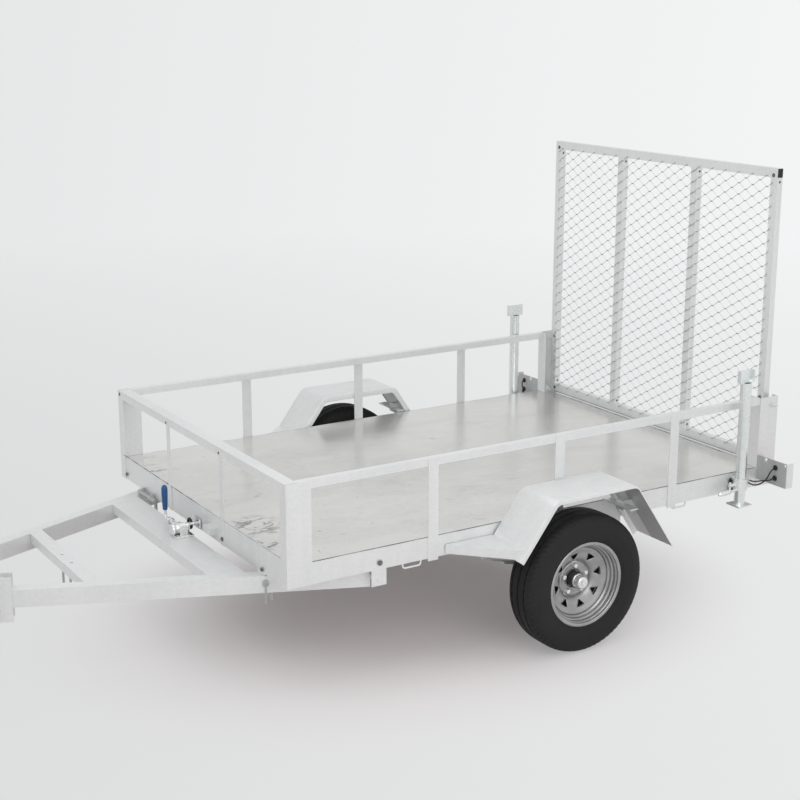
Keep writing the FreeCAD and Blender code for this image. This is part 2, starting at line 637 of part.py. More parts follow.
guard = body("mudguard")
padded(guard, outline(guard, "XZ_Plane", guard_line("0") + guard_line("guard_lip")[::-1]), GUARD_WIDTH)
pocketed(guard, outline(guard, "XZ_Plane", guard_line("guard_sheet") + guard_line("guard_lip + 1")[::-1]),
         f"{GUARD_WIDTH} - 2 * guard_sheet")
place(guard, "0", GUARD_MIDDLE, "0")
node("mudguards", group(guard, mirrored(guard)))

step_foot = "(guard_front + step_drop / tan(guard_front_angle))"
under_guard = extruded("under_guard", "XZ_Plane", guard_line("0"), "2 * guard_outer")
place(under_guard)
step = extruded("step", "XY_Plane", [("step_front", "bed_half"), (f"{step_foot} + 6", "guard_outer - 4"),
                                     (f"{step_foot} - 6", "guard_outer - 4"), (f"{step_foot} - 6", "bed_half")], "step_lip")
place(step, z="step_top - step_lip / 2")
hollow = extruded("hollow", "XY_Plane",
                  [("step_front - 12", "bed_half - 1"), (f"{step_foot} + 4", "guard_outer - 10"),
                   (f"{step_foot} - 7", "guard_outer - 10"), (f"{step_foot} - 7", "bed_half - 1")], "step_lip")
place(hollow, z="step_top - step_lip / 2 - guard_sheet")
step_plate = cut(step, hollow, under_guard)


def slope_x(z):
    """Inner face of the mudguard's rear slope at a height."""
    return f"-(guard_rear + (guard_top - ({z})) / tan(guard_rear_angle)) + guard_sheet / sin(guard_rear_angle)"


stay_high, stay_low = "guard_top - 108", "guard_top - 150"
stay_bar = box(("-guard_rear - 48", "-guard_rear - 8"), ("bed_half", "guard_outer - 50"),
               (stay_high + " - 20", stay_high + " - 14"))
stay_tab = extruded("stay_tab", "XZ_Plane", [(slope_x(stay_low), stay_low), (slope_x(stay_high), stay_high),
                                             ("-guard_rear - 30", stay_high), ("-guard_rear - 30", stay_low)], "44")
place(stay_tab, y="guard_inner + 84")
left_stays = group(step_plate, fuse(stay_bar, stay_tab))
node("mudguard_stays", group(left_stays, mirrored(left_stays)))

# ---------------------------------------------------------------- tilt pivot brackets and packing plates
PIVOT_SPAN = ("pivot_x - bracket_length / 2", "pivot_x + bracket_length / 2")
BRACKET_Z = ("sill_bottom - bracket_drop", "sill_bottom")
bracket = fuse(
    box(PIVOT_SPAN, ("bed_half - bracket_wall", "bed_half"), BRACKET_Z),
    box(PIVOT_SPAN, ("bracket_inner", "bracket_inner + bracket_wall"), BRACKET_Z),
    box(PIVOT_SPAN, ("bracket_inner", "bed_half"), ("sill_bottom - bracket_wall", "sill_bottom")),
    rod("y", "pivot_pin", "bracket_inner - 8", "bed_half + 6", x="pivot_x", z="pivot_z"))
node("pivot_brackets", group(bracket, mirrored(bracket)))

pad = box(("front_face - sill_flange", "front_face"), ("bar_half - pad_length", "bar_half"),
          ("bar_top + end_play", "sill_bottom"))
node("packing_plates", group(pad, mirrored(pad)))

# ---------------------------------------------------------------- drawbar
# members are made along X with their outer edge at y = 0 and then turned in towards the coupling
SLEEVE_END = "(bracket_inner + bracket_wall + 4)"


def slanted(piece):
    """Put a piece made along the left drawbar member's outer edge into its place."""
    piece.Placement = FreeCAD.Placement(V(0, 0, 0), FreeCAD.Rotation(V(0, 0, 1), -number("bar_angle")))
    piece.setExpression("Placement.Rotation.Angle", tied("-bar_angle"))
    return place(piece, "bed_front", "bar_half")


BAR_Z = ("bar_top - bar_depth", "bar_top")
pin_way = rod("y", "pivot_pin + pin_play", "-bar_wall - 1", "1", x="-10", z="bar_top - 30", base="0")
member = slanted(cut(hollow_bar(("-600", "1700"), ("-bar_width", "0"), BAR_Z, "x", "bar_wall", base="0"), pin_way))
trimmed = common(member, box(("pivot_x + sleeve_radius - 2", "bar_end"), ("end_play / 2", "bed_half"), BAR_Z))
sleeve = pipe("y", "sleeve_radius", "sleeve_radius - pivot_pin - pin_play", SLEEVE_END,
              "bed_half - bracket_wall - 4", x="pivot_x", z="pivot_z")
bolt_way = rod("y", "pivot_pin + pin_play", SLEEVE_END, "bed_half", x="pivot_x", z="pivot_z")
drawbar = cut(fuse(trimmed, sleeve), bolt_way)
node("drawbar_members", group(drawbar, mirrored(drawbar)))


def beyond_members():
    """Everything outside the inner faces of both drawbar members."""
    outside = slanted(group(box(("-400", "1600"), ("-bar_width - end_play", "600"), ("0", "2 * bar_top"), base="0")))
    return fuse(outside, mirrored(outside))


def cross_channel(front, width, holes=()):
    """A channel laid flat, open below, cut to the inner faces of the drawbar members."""
    full = ("-bar_half", "bar_half")
    shell = cut(box((f"{front} - {width}", front), full, ("bar_top - cross_depth", "bar_top")),
                box((f"{front} - {width} + cross_wall", f"{front} - cross_wall"), full,
                    ("bar_top - cross_depth - 1", "bar_top - cross_wall")))
    bores = [rod("z", "6.5", "bar_top - 20", "bar_top + 10", x=f"{front} - {width} / 2", y=y) for y in holes]
    return cut(shell, beyond_members(), *bores)


node("cross_channel_front", cross_channel("cross_front", "cross_front_width", ("-9", "96")))
node("cross_channel_rear", cross_channel("cross_rear", "cross_rear_width"))

node("chain_hoop", hanging_loop("y", "44", "128", "bar_top - 118", "bar_top - cross_wall", "4.5", "16",
                                "(cross_front - cross_wall - 6)"))

# ---------------------------------------------------------------- coupling
coupling = cut(
    fuse(box(("bar_end - 110", "bar_end + 30"), ("-34", "34"), ("bar_top", "bar_top + 8")),
         box(("bar_end - 90", "ball_x - 20"), ("-28", "28"), ("bar_top + 6", "bar_top + 52")),
         rod("z", "ball_radius + 15", "bar_top - 6", "bar_top + 58", x="ball_x"),
         box(("ball_x - 95", "ball_x - 5"), ("-9", "9"), ("bar_top + 50", "bar_top + 74"))),
    rod("z", "ball_radius + 0.5", "bar_top - 7", "bar_top + 34", x="ball_x"))
handle = fuse(rod("x", "9", "ball_x - 200", "ball_x - 60", z="bar_top + 86"),
              box(("ball_x - 95", "ball_x - 55"), ("-9", "9"), ("bar_top + 74.5", "bar_top + 95")))
node("coupling", coupling)
node("coupling_lever", handle)

# ---------------------------------------------------------------- tilt latch
LATCH_X = "(cross_rear - 95)"
latch = fuse(
    box((f"{LATCH_X} - 34", f"{LATCH_X} + 34"), ("-22", "62"), ("bar_top", "bar_top + 7")),
    rod("x", "24", f"{LATCH_X} - 40", f"{LATCH_X} + 30", y="22", z="bar_top + 28"),
    rod("y", "9", "-131", "20", x=LATCH_X, z="bar_top + 30"),
    box((f"{LATCH_X} - 5", f"{LATCH_X} + 5"), ("-137", "-125"), ("bar_top + 24", "bar_top + 63")))
node("tilt_latch", latch)
node("tilt_latch_grip", rod("z", "13", "bar_top + 63", "bar_top + 170", x=LATCH_X, y="-131"))
keeper = box(("front_face", "bed_front + 27"), ("130", "200"), ("sill_bottom + 28", "sill_bottom + 55"))
node("tilt_keeper", keeper)

tilt_pin = fuse(rod("y", "pivot_pin", "-bar_width + 4", "6", x="-10", z="bar_top - 30", base="0"),
                rod("y", "13", "0.5", "7", x="-10", z="bar_top - 30", base="0"),
                rod("z", "3", "bar_top - 108", "bar_top - 30", x="-10", y="11", base="0"))
slanted(tilt_pin)
node("tilt_pins", group(tilt_pin, mirrored(tilt_pin)))

# ---------------------------------------------------------------- jockey wheel, made in the slanted frame
AT = ("jockey_along", "jockey_out")
PLATE_SPAN = ("jockey_along - jockey_reach", "jockey_along + jockey_reach")
PLATE_Z = ("jockey_swing_z - 87", "jockey_swing_z + 86")
plates = [box(PLATE_SPAN, ("0", "jockey_plate"), PLATE_Z, base="0"),
          box(PLATE_SPAN, ("-bar_width - jockey_plate", "-bar_width"), PLATE_Z, base="0")]
clamp_bolts = []
for ahead in ("-58", "58"):
    for above in ("-43", "65"):
        spot = {"x": f"jockey_along + {ahead}", "z": f"jockey_swing_z + {above}", "base": "0"}
        clamp_bolts.append(rod("y", "5", "-bar_width - jockey_plate - 6", "jockey_plate + 6", **spot))
swing_pin = rod("y", "pivot_pin", "jockey_plate - 1", "jockey_plate + 7", x="jockey_along", z="jockey_swing_z",
                base="0")
node("jockey_bracket", slanted(fuse(*plates, *clamp_bolts, swing_pin)))

TUBE_Z = ("jockey_swing_z - 114", "jockey_swing_z + 290")
swing_disc = rod("y", "34", "jockey_plate + end_play", "jockey_plate + 9", x="jockey_along", z="jockey_swing_z",
                 base="0")
holder = box(("jockey_along - 20", "jockey_along + 20"), ("jockey_plate + 8", "jockey_out"),
             ("jockey_swing_z - 50", "jockey_swing_z + 50"), base="0")
outer_tube = rod("z", "jockey_tube", *TUBE_Z, *AT, base="0")
crank = fuse(rod("z", "8", TUBE_Z[1], f"{TUBE_Z[1]} + 30", *AT, base="0"),
             box(("jockey_along - 10", "jockey_along + 130"), ("jockey_out - 10", "jockey_out + 10"),
                 (f"{TUBE_Z[1]} + 20", f"{TUBE_Z[1]} + 28"), base="0"),
             rod("z", "10", f"{TUBE_Z[1]} + 24", f"{TUBE_Z[1]} + 100", "jockey_along + 118", "jockey_out", base="0"))
tube_bore = rod("z", "jockey_leg + jockey_gap", f"{TUBE_Z[0]} - 1", f"{TUBE_Z[1]} - 8", *AT, base="0")
pin_bore = rod("y", "pivot_pin + pin_play", "jockey_plate", "jockey_plate + 8", x="jockey_along",
               z="jockey_swing_z", base="0")
node("jockey_tube", slanted(cut(fuse(swing_disc, holder, outer_tube, crank), tube_bore, pin_bore)))

FORK_TOP = "(2 * jockey_wheel + 8)"
WHEEL_ALONG = "(jockey_along + jockey_trail)"
CHEEK = ("jockey_along - jockey_leg - 4", f"{WHEEL_ALONG} + 16")
fork = [box(CHEEK, ("jockey_out - 34", "jockey_out + 34"), (f"{FORK_TOP} - 6", FORK_TOP), base="0"),
        rod("z", "jockey_leg", FORK_TOP, f"{FORK_TOP} + jockey_reach_up", *AT, base="0"),
        rod("y", "6", "jockey_out - 30", "jockey_out + 30", x=WHEEL_ALONG, z="jockey_wheel", base="0")]
for side in ("jockey_out - 34", "jockey_out + 29"):
    cheek = extruded("cheek", "XZ_Plane", [(CHEEK[0], FORK_TOP), (CHEEK[1], FORK_TOP),
                                           (CHEEK[1], "jockey_wheel - 16"), (f"{WHEEL_ALONG} - 16", "jockey_wheel - 16"),
                                           (CHEEK[0], f"{FORK_TOP} - 34")], "5")
    fork.append(place(cheek, y=f"{side} + 2.5", base="0"))
node("jockey_leg", slanted(fuse(*fork)))

wheel_span = ("jockey_out - 22", "jockey_out + 22")
wheel_spot = {"x": WHEEL_ALONG, "z": "jockey_wheel", "base": "0"}
small_wheel = fuse(rod("y", "jockey_wheel", *wheel_span, **wheel_spot),
                   rod("y", "18", "jockey_out - 27", "jockey_out + 27", **wheel_spot))
node("jockey_wheel", slanted(cut(small_wheel, rod("y", "6 + pin_play", "jockey_out - 28", "jockey_out + 28",
                                                  **wheel_spot))))

# ---------------------------------------------------------------- drop legs
CRADLE_X = ("-leg_x - cradle_width / 2", "-leg_x + cradle_width / 2")
leg = fuse(
    pipe("z", "leg_radius", "leg_wall", "leg_foot", "leg_top", x="-leg_x", y="leg_y"),
    box(("-leg_x - foot_size / 2", "-leg_x + foot_size / 2"), ("leg_y - foot_size / 2", "leg_y + foot_size / 2"),
        ("leg_foot", "leg_foot + 6")),
    cut(box(CRADLE_X, ("leg_y - cradle_depth / 2", "leg_y + cradle_depth / 2"), ("leg_top", "leg_top + cradle_height")),
        box((f"{CRADLE_X[0]} + cradle_wall", f"{CRADLE_X[1]} - cradle_wall"),
            ("leg_y - cradle_depth / 2 + cradle_wall", "leg_y + cradle_depth"),
            ("leg_top + cradle_wall", "leg_top + 2 * cradle_height"))))
node("leg_left", leg)
node("leg_right", mirrored(leg))

COLLAR_Z = ("collar_bottom", "collar_bottom + collar_height")
COLLAR_BORE = "leg_radius + collar_play"
collar = cut(
    fuse(rod("z", f"{COLLAR_BORE} + collar_wall", *COLLAR_Z, x="-leg_x", y="leg_y"),
         box(("-leg_x - 20", "-leg_x + 20"), ("sill_face", "leg_y"), COLLAR_Z),
         rod("x", "7", "-leg_x + leg_radius + 3", "-leg_x + leg_radius + 40", y="leg_y",
             z="collar_bottom + collar_height / 2"),
         rod("z", "5", "collar_bottom - 12", "collar_bottom + 40", x="-leg_x + leg_radius + 36", y="leg_y")),
    rod("z", COLLAR_BORE, "collar_bottom - 20", "collar_bottom + collar_height + 20", x="-leg_x", y="leg_y"))
node("leg_clamps", group(collar, mirrored(collar)))

# ---------------------------------------------------------------- lamps and rope rails
LAMP_Z = ("lamp_bottom", "lamp_bottom + lamp_height")
LAMP_OUT = "(bed_half + lamp_width)"
bracket_plate = fuse(
    box(("-lamp_x - lamp_wall", "-lamp_x"), ("bed_half", LAMP_OUT), LAMP_Z),
    box(("-lamp_x - lamp_return", "-lamp_x"), (f"{LAMP_OUT} - lamp_wall", LAMP_OUT), LAMP_Z),
    box(("-lamp_x - lamp_return", "-lamp_x"), ("bed_half", "bed_half + lamp_wall"), LAMP_Z))
node("lamp_brackets", group(bracket_plate, mirrored(bracket_plate)))
lamp = box(("-lamp_x - lamp_return", "-lamp_x - lamp_wall"), ("bed_half + 12", f"{LAMP_OUT} - 8"),
           ("lamp_bottom + lamp_margin", "lamp_bottom + lamp_height - lamp_margin"))
node("tail_lamps", group(lamp, mirrored(lamp)))



def cord(points, radius):
    """A tube along straight runs joined by tangent arcs, each as large as the shorter of its two runs allows."""
    stops = [V(*[number(text) for text in point]) for point in points]
    edges = []
    at = stops[0]
    for before, corner, after in zip(stops, stops[1:], stops[2:]):
        arriving, leaving = (corner - before), (after - corner)
        reach = 0.45 * min(arriving.Length, leaving.Length)
        half_turn = arriving.getAngle(leaving) / 2
        arriving.normalize()
        leaving.normalize()
        inward = leaving - arriving
        inward.normalize()
        bend = reach / math.tan(half_turn)
        start, end = corner - arriving * reach, corner + leaving * reach
        middle = corner + inward * bend * (1 / math.cos(half_turn) - 1)
        edges.append(Part.LineSegment(at, start).toShape())
        edges.append(Part.Arc(start, middle, end).toShape())
        at = end
    edges.append(Part.LineSegment(at, stops[-1]).toShape())
    path = Part.Wire(edges)
    ring = Part.Wire(Part.makeCircle(number(radius), stops[0], stops[1] - stops[0]))
    tube = doc.addObject("Part::Feature", "cord")
    tube.Shape = path.makePipeShell([ring], True, True)
    print(f"cord {path.Length:.0f} mm long, volume is {tube.Shape.Volume / ring_area(radius) / path.Length:.4f} of section x length")
    return tube


def ring_area(radius):
    return math.pi * number(radius) ** 2


# a lead leaves each of the two grommets on a lamp bracket, and both go in through the sill's side
LEAD_Y = "bed_half + 114"
routes = [
    # along, out and up, the first point in the bracket's grommet and the last in the sill's
    [("0", LEAD_Y, "80"), ("14", LEAD_Y, "80"), ("23", "bed_half + 101", "58"), ("21", "bed_half + 84", "28"),
     ("27", "bed_half + 58", "5"), ("34", "bed_half + 32", "-9"), ("38", "bed_half + 14", "-14"),
     ("38", "sill_face", "-14")],
    [("0", LEAD_Y, "33"), ("12", LEAD_Y, "33"), ("20", "bed_half + 101", "22"), ("29", "bed_half + 83", "18"),
     ("34", "bed_half + 58", "10"), ("30", "bed_half + 32", "0"), ("30", "bed_half + 14", "-5"),
     ("30", "sill_face", "-5")],
]
leads = []
for route in routes:
    points = [(f"axle_x - lamp_x + {along}", out, f"lamp_bottom + {up}") for along, out, up in route]
    along, out, up = route[0]
    leads.append(cord(points, "lead_radius"))
    leads.append(rod("x", "8", "-lamp_x", "-lamp_x + 5", y=out, z=f"lamp_bottom + {up}"))
left_leads = fuse(*leads, rod("y", "10", "sill_face", "sill_face + 3", x="-lamp_x + 34", z="lamp_bottom - 10"))
node("lamp_leads", group(left_leads, mirrored(left_leads)))

loops = [hanging_loop("x", low, high, "sill_bottom - 20", "sill_bottom", "4", "12", "bed_half - 9")
         for low, high in (("640", "722"), ("-711", "-634"))]
left_loops = group(*loops)
node("rope_rails", group(left_loops, mirrored(left_loops)))

# ---------------------------------------------------------------- ramp gate
GATE_X = ("-gate_face - gate_depth", "-gate_face")
GATE_LOW = ("gate_bottom", "gate_bottom + gate_bar")
GATE_HIGH = ("gate_top - gate_bar", "gate_top")
GATE_BETWEEN = ("gate_bottom + gate_bar", "gate_top - gate_bar")
hinge_spot = {"x": "-gate_face - gate_depth / 2", "z": "hinge_z"}
hinge_pins = [rod("y", "hinge_pin", start, end, **hinge_spot)
              for start, end in (("gate_half - 40", "bed_half + 9"), ("-bed_half - 9", "-gate_half + 40"))]
node("gate_rails", group(
    fuse(hollow_bar(GATE_X, ("-gate_half", "gate_half"), GATE_LOW, "y", "gate_wall"), *hinge_pins),
    hollow_bar(GATE_X, ("-gate_half", "gate_half"), GATE_HIGH, "y", "gate_wall")))
gate_bars = []
for low in ("-gate_half", "-gate_middle - gate_bar / 2", "gate_middle_other - gate_bar / 2",
            "gate_half - gate_bar"):
    vents = [rod("y", "vent_radius", f"{low} - 1", f"{low} + gate_bar + 1", x=hinge_spot["x"], z=height)
             for height in ("gate_top - vent_margin", "gate_bottom + drain_margin")]
    gate_bars.append(cut(hollow_bar(GATE_X, (low, f"{low} + gate_bar"), GATE_BETWEEN, "z", "gate_wall"), *vents))
node("gate_uprights", group(*gate_bars))

# the mesh is a sheet with two grids of diamond openings, the second half a pitch across and up from the first
MESH_WIDE = "(2 * (gate_half - mesh_inset))"
MESH_TALL = "(gate_height - 2 * mesh_inset)"
COLUMNS = f"floor({MESH_WIDE} / mesh_long_pitch + 0.5)"
ROWS = f"floor({MESH_TALL} / mesh_short_pitch + 0.5)"
PITCH_Y = f"({MESH_WIDE} / {COLUMNS})"
PITCH_Z = f"({MESH_TALL} / {ROWS})"
# an opening is the diamond between the strands' middle lines, drawn in by half a strand on every side
DRAWN_IN = f"(1 - mesh_strand * sqrt({PITCH_Y} ^ 2 + {PITCH_Z} ^ 2) / ({PITCH_Y} * {PITCH_Z}))"


def diamond(y, z):
    """Corners of an opening about its middle."""
    wide, tall = f"{PITCH_Y} / 2 * {DRAWN_IN}", f"{PITCH_Z} / 2 * {DRAWN_IN}"
    return [(f"{y} + {wide}", z), (y, f"{z} + {tall}"), (f"{y} - {wide}", z), (y, f"{z} - {tall}")]


mesh = body("mesh")
padded(mesh, outline(mesh, "YZ_Plane", [(f"-{MESH_WIDE} / 2", "0"), (f"{MESH_WIDE} / 2", "0"),
                                        (f"{MESH_WIDE} / 2", MESH_TALL), (f"-{MESH_WIDE} / 2", MESH_TALL)]), "mesh_thick")
for shift, fewer in (("0", "0"), ("0.5", "1")):
    first = outline(mesh, "YZ_Plane", diamond(f"(-{MESH_WIDE} / 2 + {PITCH_Y} * {shift})", f"({PITCH_Z} * {shift})"))
    opening = pocketed(mesh, first, "3 * mesh_thick")
    directions = []
    for way, pitch, count in (("H_Axis", PITCH_Y, COLUMNS), ("V_Axis", PITCH_Z, ROWS)):
        line = mesh.newObject("PartDesign::LinearPattern", "line")
        line.Direction = (first, [way])
        directions.append(bind(line, Length=f"{pitch} * ({count} - {fewer})", Occurrences=f"{count} + 1 - {fewer}"))
    openings = mesh.newObject("PartDesign::MultiTransform", "openings")
    openings.Originals = [opening]
    openings.Transformations = directions
    mesh.Tip = openings
place(mesh, "-gate_face + mesh_thick / 2", z="gate_bottom + mesh_inset")
node("gate_mesh", mesh)

latch_pin = fuse(rod("y", "latch_pin", "gate_half + 8", "bed_half + 30", x="-hinge_setback", z="latch_z"),
                 rod("y", "latch_pin + 5", "bed_half + 0.5", "bed_half + 6", x="-hinge_setback", z="latch_z"))
node("gate_latches", group(latch_pin, mirrored(latch_pin)))

# ---------------------------------------------------------------- check and write
doc.recompute()
for obj in doc.Objects:
    if "Invalid" in obj.State or "Error" in obj.State:
        raise RuntimeError(f"{obj.Name} failed: {obj.State}")
os.makedirs("parts", exist_ok=True)
for piece in NODES:
    shape = piece.Shape
    if shape.isNull() or not shape.isValid() or not shape.Solids:
        raise RuntimeError(f"{piece.Label} has no sound solid")
    shape.exportStep(f"parts/{piece.Label}.step")
print(len(NODES), "pieces written")
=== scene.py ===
"""Looks of a galvanised tilting box trailer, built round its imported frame.

Metres, in the frame's axes: +X to the coupling, +Y to the trailer's left, +Z up, floor at z = 0.
"""
import bmesh
import bpy
import json
import math
import numpy as np
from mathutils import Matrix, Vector


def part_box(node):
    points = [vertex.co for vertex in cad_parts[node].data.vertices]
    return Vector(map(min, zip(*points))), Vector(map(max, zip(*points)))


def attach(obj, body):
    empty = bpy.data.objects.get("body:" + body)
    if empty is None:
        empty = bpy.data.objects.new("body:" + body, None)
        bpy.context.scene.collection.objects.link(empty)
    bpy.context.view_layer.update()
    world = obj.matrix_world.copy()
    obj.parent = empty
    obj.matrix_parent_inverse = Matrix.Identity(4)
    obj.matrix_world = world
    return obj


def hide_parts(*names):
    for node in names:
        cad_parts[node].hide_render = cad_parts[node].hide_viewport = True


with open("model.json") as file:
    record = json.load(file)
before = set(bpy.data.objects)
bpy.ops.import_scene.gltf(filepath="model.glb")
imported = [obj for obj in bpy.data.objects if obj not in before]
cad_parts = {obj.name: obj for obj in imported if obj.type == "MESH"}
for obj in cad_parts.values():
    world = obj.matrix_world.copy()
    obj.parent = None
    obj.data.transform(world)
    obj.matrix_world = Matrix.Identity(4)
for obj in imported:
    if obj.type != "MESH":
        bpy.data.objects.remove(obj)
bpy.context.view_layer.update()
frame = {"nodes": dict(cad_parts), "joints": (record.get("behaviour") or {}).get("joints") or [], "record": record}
PIVOT = {joint["name"]: np.array(joint["pos_m"]) for joint in frame["joints"] if "pos_m" in joint}
MM = 0.001
AXLE = PIVOT["wheel_left_spin"][0]


def at(x, y, z):
    """A point in metres from millimetres ahead of the axle, left of the middle and above the floor."""
    return np.array([AXLE + x * MM, y * MM, z * MM])


def corners(name):
    """Lowest and highest corner of a node as arrays."""
    low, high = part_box(name)
    return np.array(low), np.array(high)


# ---------------------------------------------------------------- camera, floor and light
SKY_FILL = 0.64
# level direction in which the floor and the backdrop grow brighter
BRIGHT_WAY = (-0.85, 0.52, 0.0)
FLOOR_EDGE = 5000.0
# name, place, target, width across in metres, watts
LAMPS = [("key", (0.4, 3.4, 2.2), (-0.5, 0.5, 0.35), 2.6, 26),
         ("top", (0.2, 0.3, 5.2), (0.1, 0.1, 0.4), 5.0, 36),
         ("ahead", (4.8, 1.0, 2.4), (0.4, 0.0, 0.4), 2.4, 14)]


def aim(obj, target):
    """Turn an object so that its -Z axis meets a target."""
    obj.rotation_euler = (Vector(target) - obj.location).to_track_quat("-Z", "Y").to_euler()


def camera():
    """A long lens at head height off the trailer's front left corner, with no shift."""
    data = bpy.data.cameras.new("camera")
    data.lens, data.sensor_width = 68.27, 36
    data.clip_end = 2.4 * FLOOR_EDGE
    obj = bpy.data.objects.new("camera", data)
    obj.location = (2.826, 5.448, 2.540)
    yaw, pitch = math.radians(-121.62), math.radians(-14.78)
    ahead = Vector((math.cos(yaw) * math.cos(pitch), math.sin(yaw) * math.cos(pitch), math.sin(pitch)))
    bpy.context.scene.collection.objects.link(obj)
    aim(obj, obj.location + ahead)
    bpy.context.scene.camera = obj


def soft_light(name, place, target, width, watts):
    """A round white lamp face, as wide as given, that looks at a target."""
    data = bpy.data.lights.new(name, "AREA")
    data.shape, data.size, data.energy = "DISK", width, watts
    obj = bpy.data.objects.new(name, data)
    obj.location = place
    bpy.context.scene.collection.objects.link(obj)
    aim(obj, target)


def node(tree, kind, inputs=(), **settings):
    """Add a shader node; an input is a value, or another node's socket to link from."""
    made = tree.nodes.new("ShaderNode" + kind)
    for key, value in settings.items():
        setattr(made, key, value)
    for key, value in dict(inputs).items():
        if isinstance(value, bpy.types.NodeSocket):
            tree.links.new(value, made.inputs[key])
        else:
            made.inputs[key].default_value = value
    return made


def maths(tree, operation, first, second):
    """The result of a Math node on two values or sockets."""
    return node(tree, "Math", {0: first, 1: second}, operation=operation).outputs[0]


def vector(tree, operation, *inputs):
    """The result of a Vector Math node: its number for a length, product or distance, otherwise its vector."""
    made = node(tree, "VectorMath", dict(enumerate(inputs)), operation=operation)
    return made.outputs["Value" if operation in ("LENGTH", "DOT_PRODUCT", "DISTANCE") else "Vector"]


def carried(tree, value, start, end, low, high, **settings):
    """Carry the range start to end of a value to the range low to high, and hold it at the ends."""
    return node(tree, "MapRange", {"Value": value, "From Min": start, "From Max": end, "To Min": low, "To Max": high},
                **settings).outputs["Result"]


def seen_directly(tree):
    """1 on rays that come from the lens or off gloss or through glass, otherwise 0."""
    path = node(tree, "LightPath")
    first = maths(tree, "MAXIMUM", path.outputs["Is Camera Ray"], path.outputs["Is Glossy Ray"])
    return maths(tree, "MAXIMUM", first, path.outputs["Is Transmission Ray"])


def backdrop(tree, slope):
    """Pale tone that brightens from the trailer's front right to its rear left, by the slope along BRIGHT_WAY."""
    shade = node(tree, "ValToRGB", {"Fac": carried(tree, slope, -0.3, 0.3, 0.0, 1.0)})
    shade.color_ramp.elements[0].color = (0.785, 0.790, 0.795, 1)
    shade.color_ramp.elements[1].color = (0.905, 0.910, 0.915, 1)
    return shade.outputs[0]


def studio():
    """Pale floor that meets an equally pale backdrop, even sky light, and large soft lamps beside, above and ahead."""
    world = bpy.data.worlds.new("studio")
    bpy.context.scene.world = world
    world.use_nodes = True
    tree = world.node_tree
    tree.nodes.clear()
    fill = node(tree, "Background", {"Color": (0.98, 0.99, 1, 1), "Strength": SKY_FILL})
    slope = vector(tree, "DOT_PRODUCT", node(tree, "TexCoord").outputs["Generated"], BRIGHT_WAY)
    seen = node(tree, "Background", {"Color": backdrop(tree, slope), "Strength": 1.0})
    both = node(tree, "MixShader", {0: seen_directly(tree), 1: fill.outputs[0], 2: seen.outputs[0]})
    node(tree, "OutputWorld", {0: both.outputs[0]})

    paint = bpy.data.materials.new("studio_floor")
    paint.use_nodes = True
    tree = paint.node_tree
    tree.nodes.clear()
    where = node(tree, "TexCoord").outputs["Object"]
    away = vector(tree, "LENGTH", where)
    slope = maths(tree, "DIVIDE", vector(tree, "DOT_PRODUCT", where, BRIGHT_WAY), maths(tree, "ADD", away, 6.0))
    matt = node(tree, "BsdfDiffuse", {"Color": (0.83, 0.765, 0.765, 1)})
    # painted shade: the floor's glow is dimmer near the trailer and full 11 m away
    painted_shade_near = carried(tree, away, 1.0, 11.0, 0.88, 1.0)
    glow = node(tree, "Emission", {"Color": backdrop(tree, slope), "Strength": painted_shade_near})
    # the shadow keeps its full depth in an oval under the bed and fades to the pale floor round it
    oval = vector(tree, "SUBTRACT", where, (-0.45, 0.2, 0.0))
    oval = vector(tree, "LENGTH", vector(tree, "MULTIPLY", oval, (1.0, 1.25, 0.0)))
    reach = carried(tree, oval, 0.5, 1.75, 0.06, 1.0, interpolation_type="SMOOTHSTEP")
    share = maths(tree, "MULTIPLY", seen_directly(tree), reach)
    both = node(tree, "MixShader", {0: share, 1: matt.outputs[0], 2: glow.outputs[0]})
    node(tree, "OutputMaterial", {0: both.outputs[0]})
    mesh = bpy.data.meshes.new("floor")
    mesh.from_pydata([(x * FLOOR_EDGE, y * FLOOR_EDGE, 0) for x, y in ((-1, -1), (1, -1), (1, 1), (-1, 1))], [],
                     [(0, 1, 2, 3)])
    mesh.materials.append(paint)
    floor = bpy.data.objects.new("floor", mesh)
    bpy.context.scene.collection.objects.link(floor)
    for lamp in LAMPS:
        soft_light(*lamp)
    bpy.context.scene.view_settings.view_transform = "Standard"


# ---------------------------------------------------------------- finishes
def start(name, **sockets):
    """A material with its surface shader, its tree and the object coordinates that patterns are read from."""
    material = bpy.data.materials.new(name)
    material.use_nodes = True
    tree = material.node_tree
    shader = tree.nodes["Principled BSDF"]
    for key, value in sockets.items():
        shader.inputs[key.replace("_", " ")].default_value = value
    where = node(tree, "TexCoord").outputs["Object"]
    return material, tree, shader, where


def ramp(tree, factor, *stops):
    """A colour ramp from (place, colour) stops."""
    made = node(tree, "ValToRGB", {"Fac": factor})
    elements = made.color_ramp.elements
    while len(elements) < len(stops):
        elements.new(0.5)
    for element, (place, colour) in zip(elements, stops):
        element.position = place
        element.color = (*colour, 1)
    return made.outputs[0]


def grey(value, warm=0.0):
    """A grey, a little redder and less blue where it is warm."""
    return (value * (1 + warm), value, value * (1 - warm))


def spread(tree, value, low, high):
    """Carry a 0 to 1 pattern to a range of numbers."""
    return carried(tree, value, 0.0, 1.0, low, high)


def bumped(tree, shader, height, distance, strength):
    """Raise a shader's surface by a pattern, by up to a distance in metres."""
    bump = node(tree, "Bump", {"Height": height, "Distance": distance, "Strength": strength})
    tree.links.new(bump.outputs[0], shader.inputs["Normal"])


def stretched(tree, where, scale):
    """Coordinates scaled by their own factor along each axis."""
    return node(tree, "Mapping", {"Vector": where, "Scale": scale}).outputs[0]


def mixed_by(tree, share, first, second):
    """A blend of two patterns."""
    return node(tree, "Mix", {0: share, 2: first, 3: second}).outputs[0]


def coloured(tree, shader, pattern, *stops):
    """Colour a shader by a pattern through a colour ramp."""
    tree.links.new(ramp(tree, pattern, *stops), shader.inputs["Base Color"])


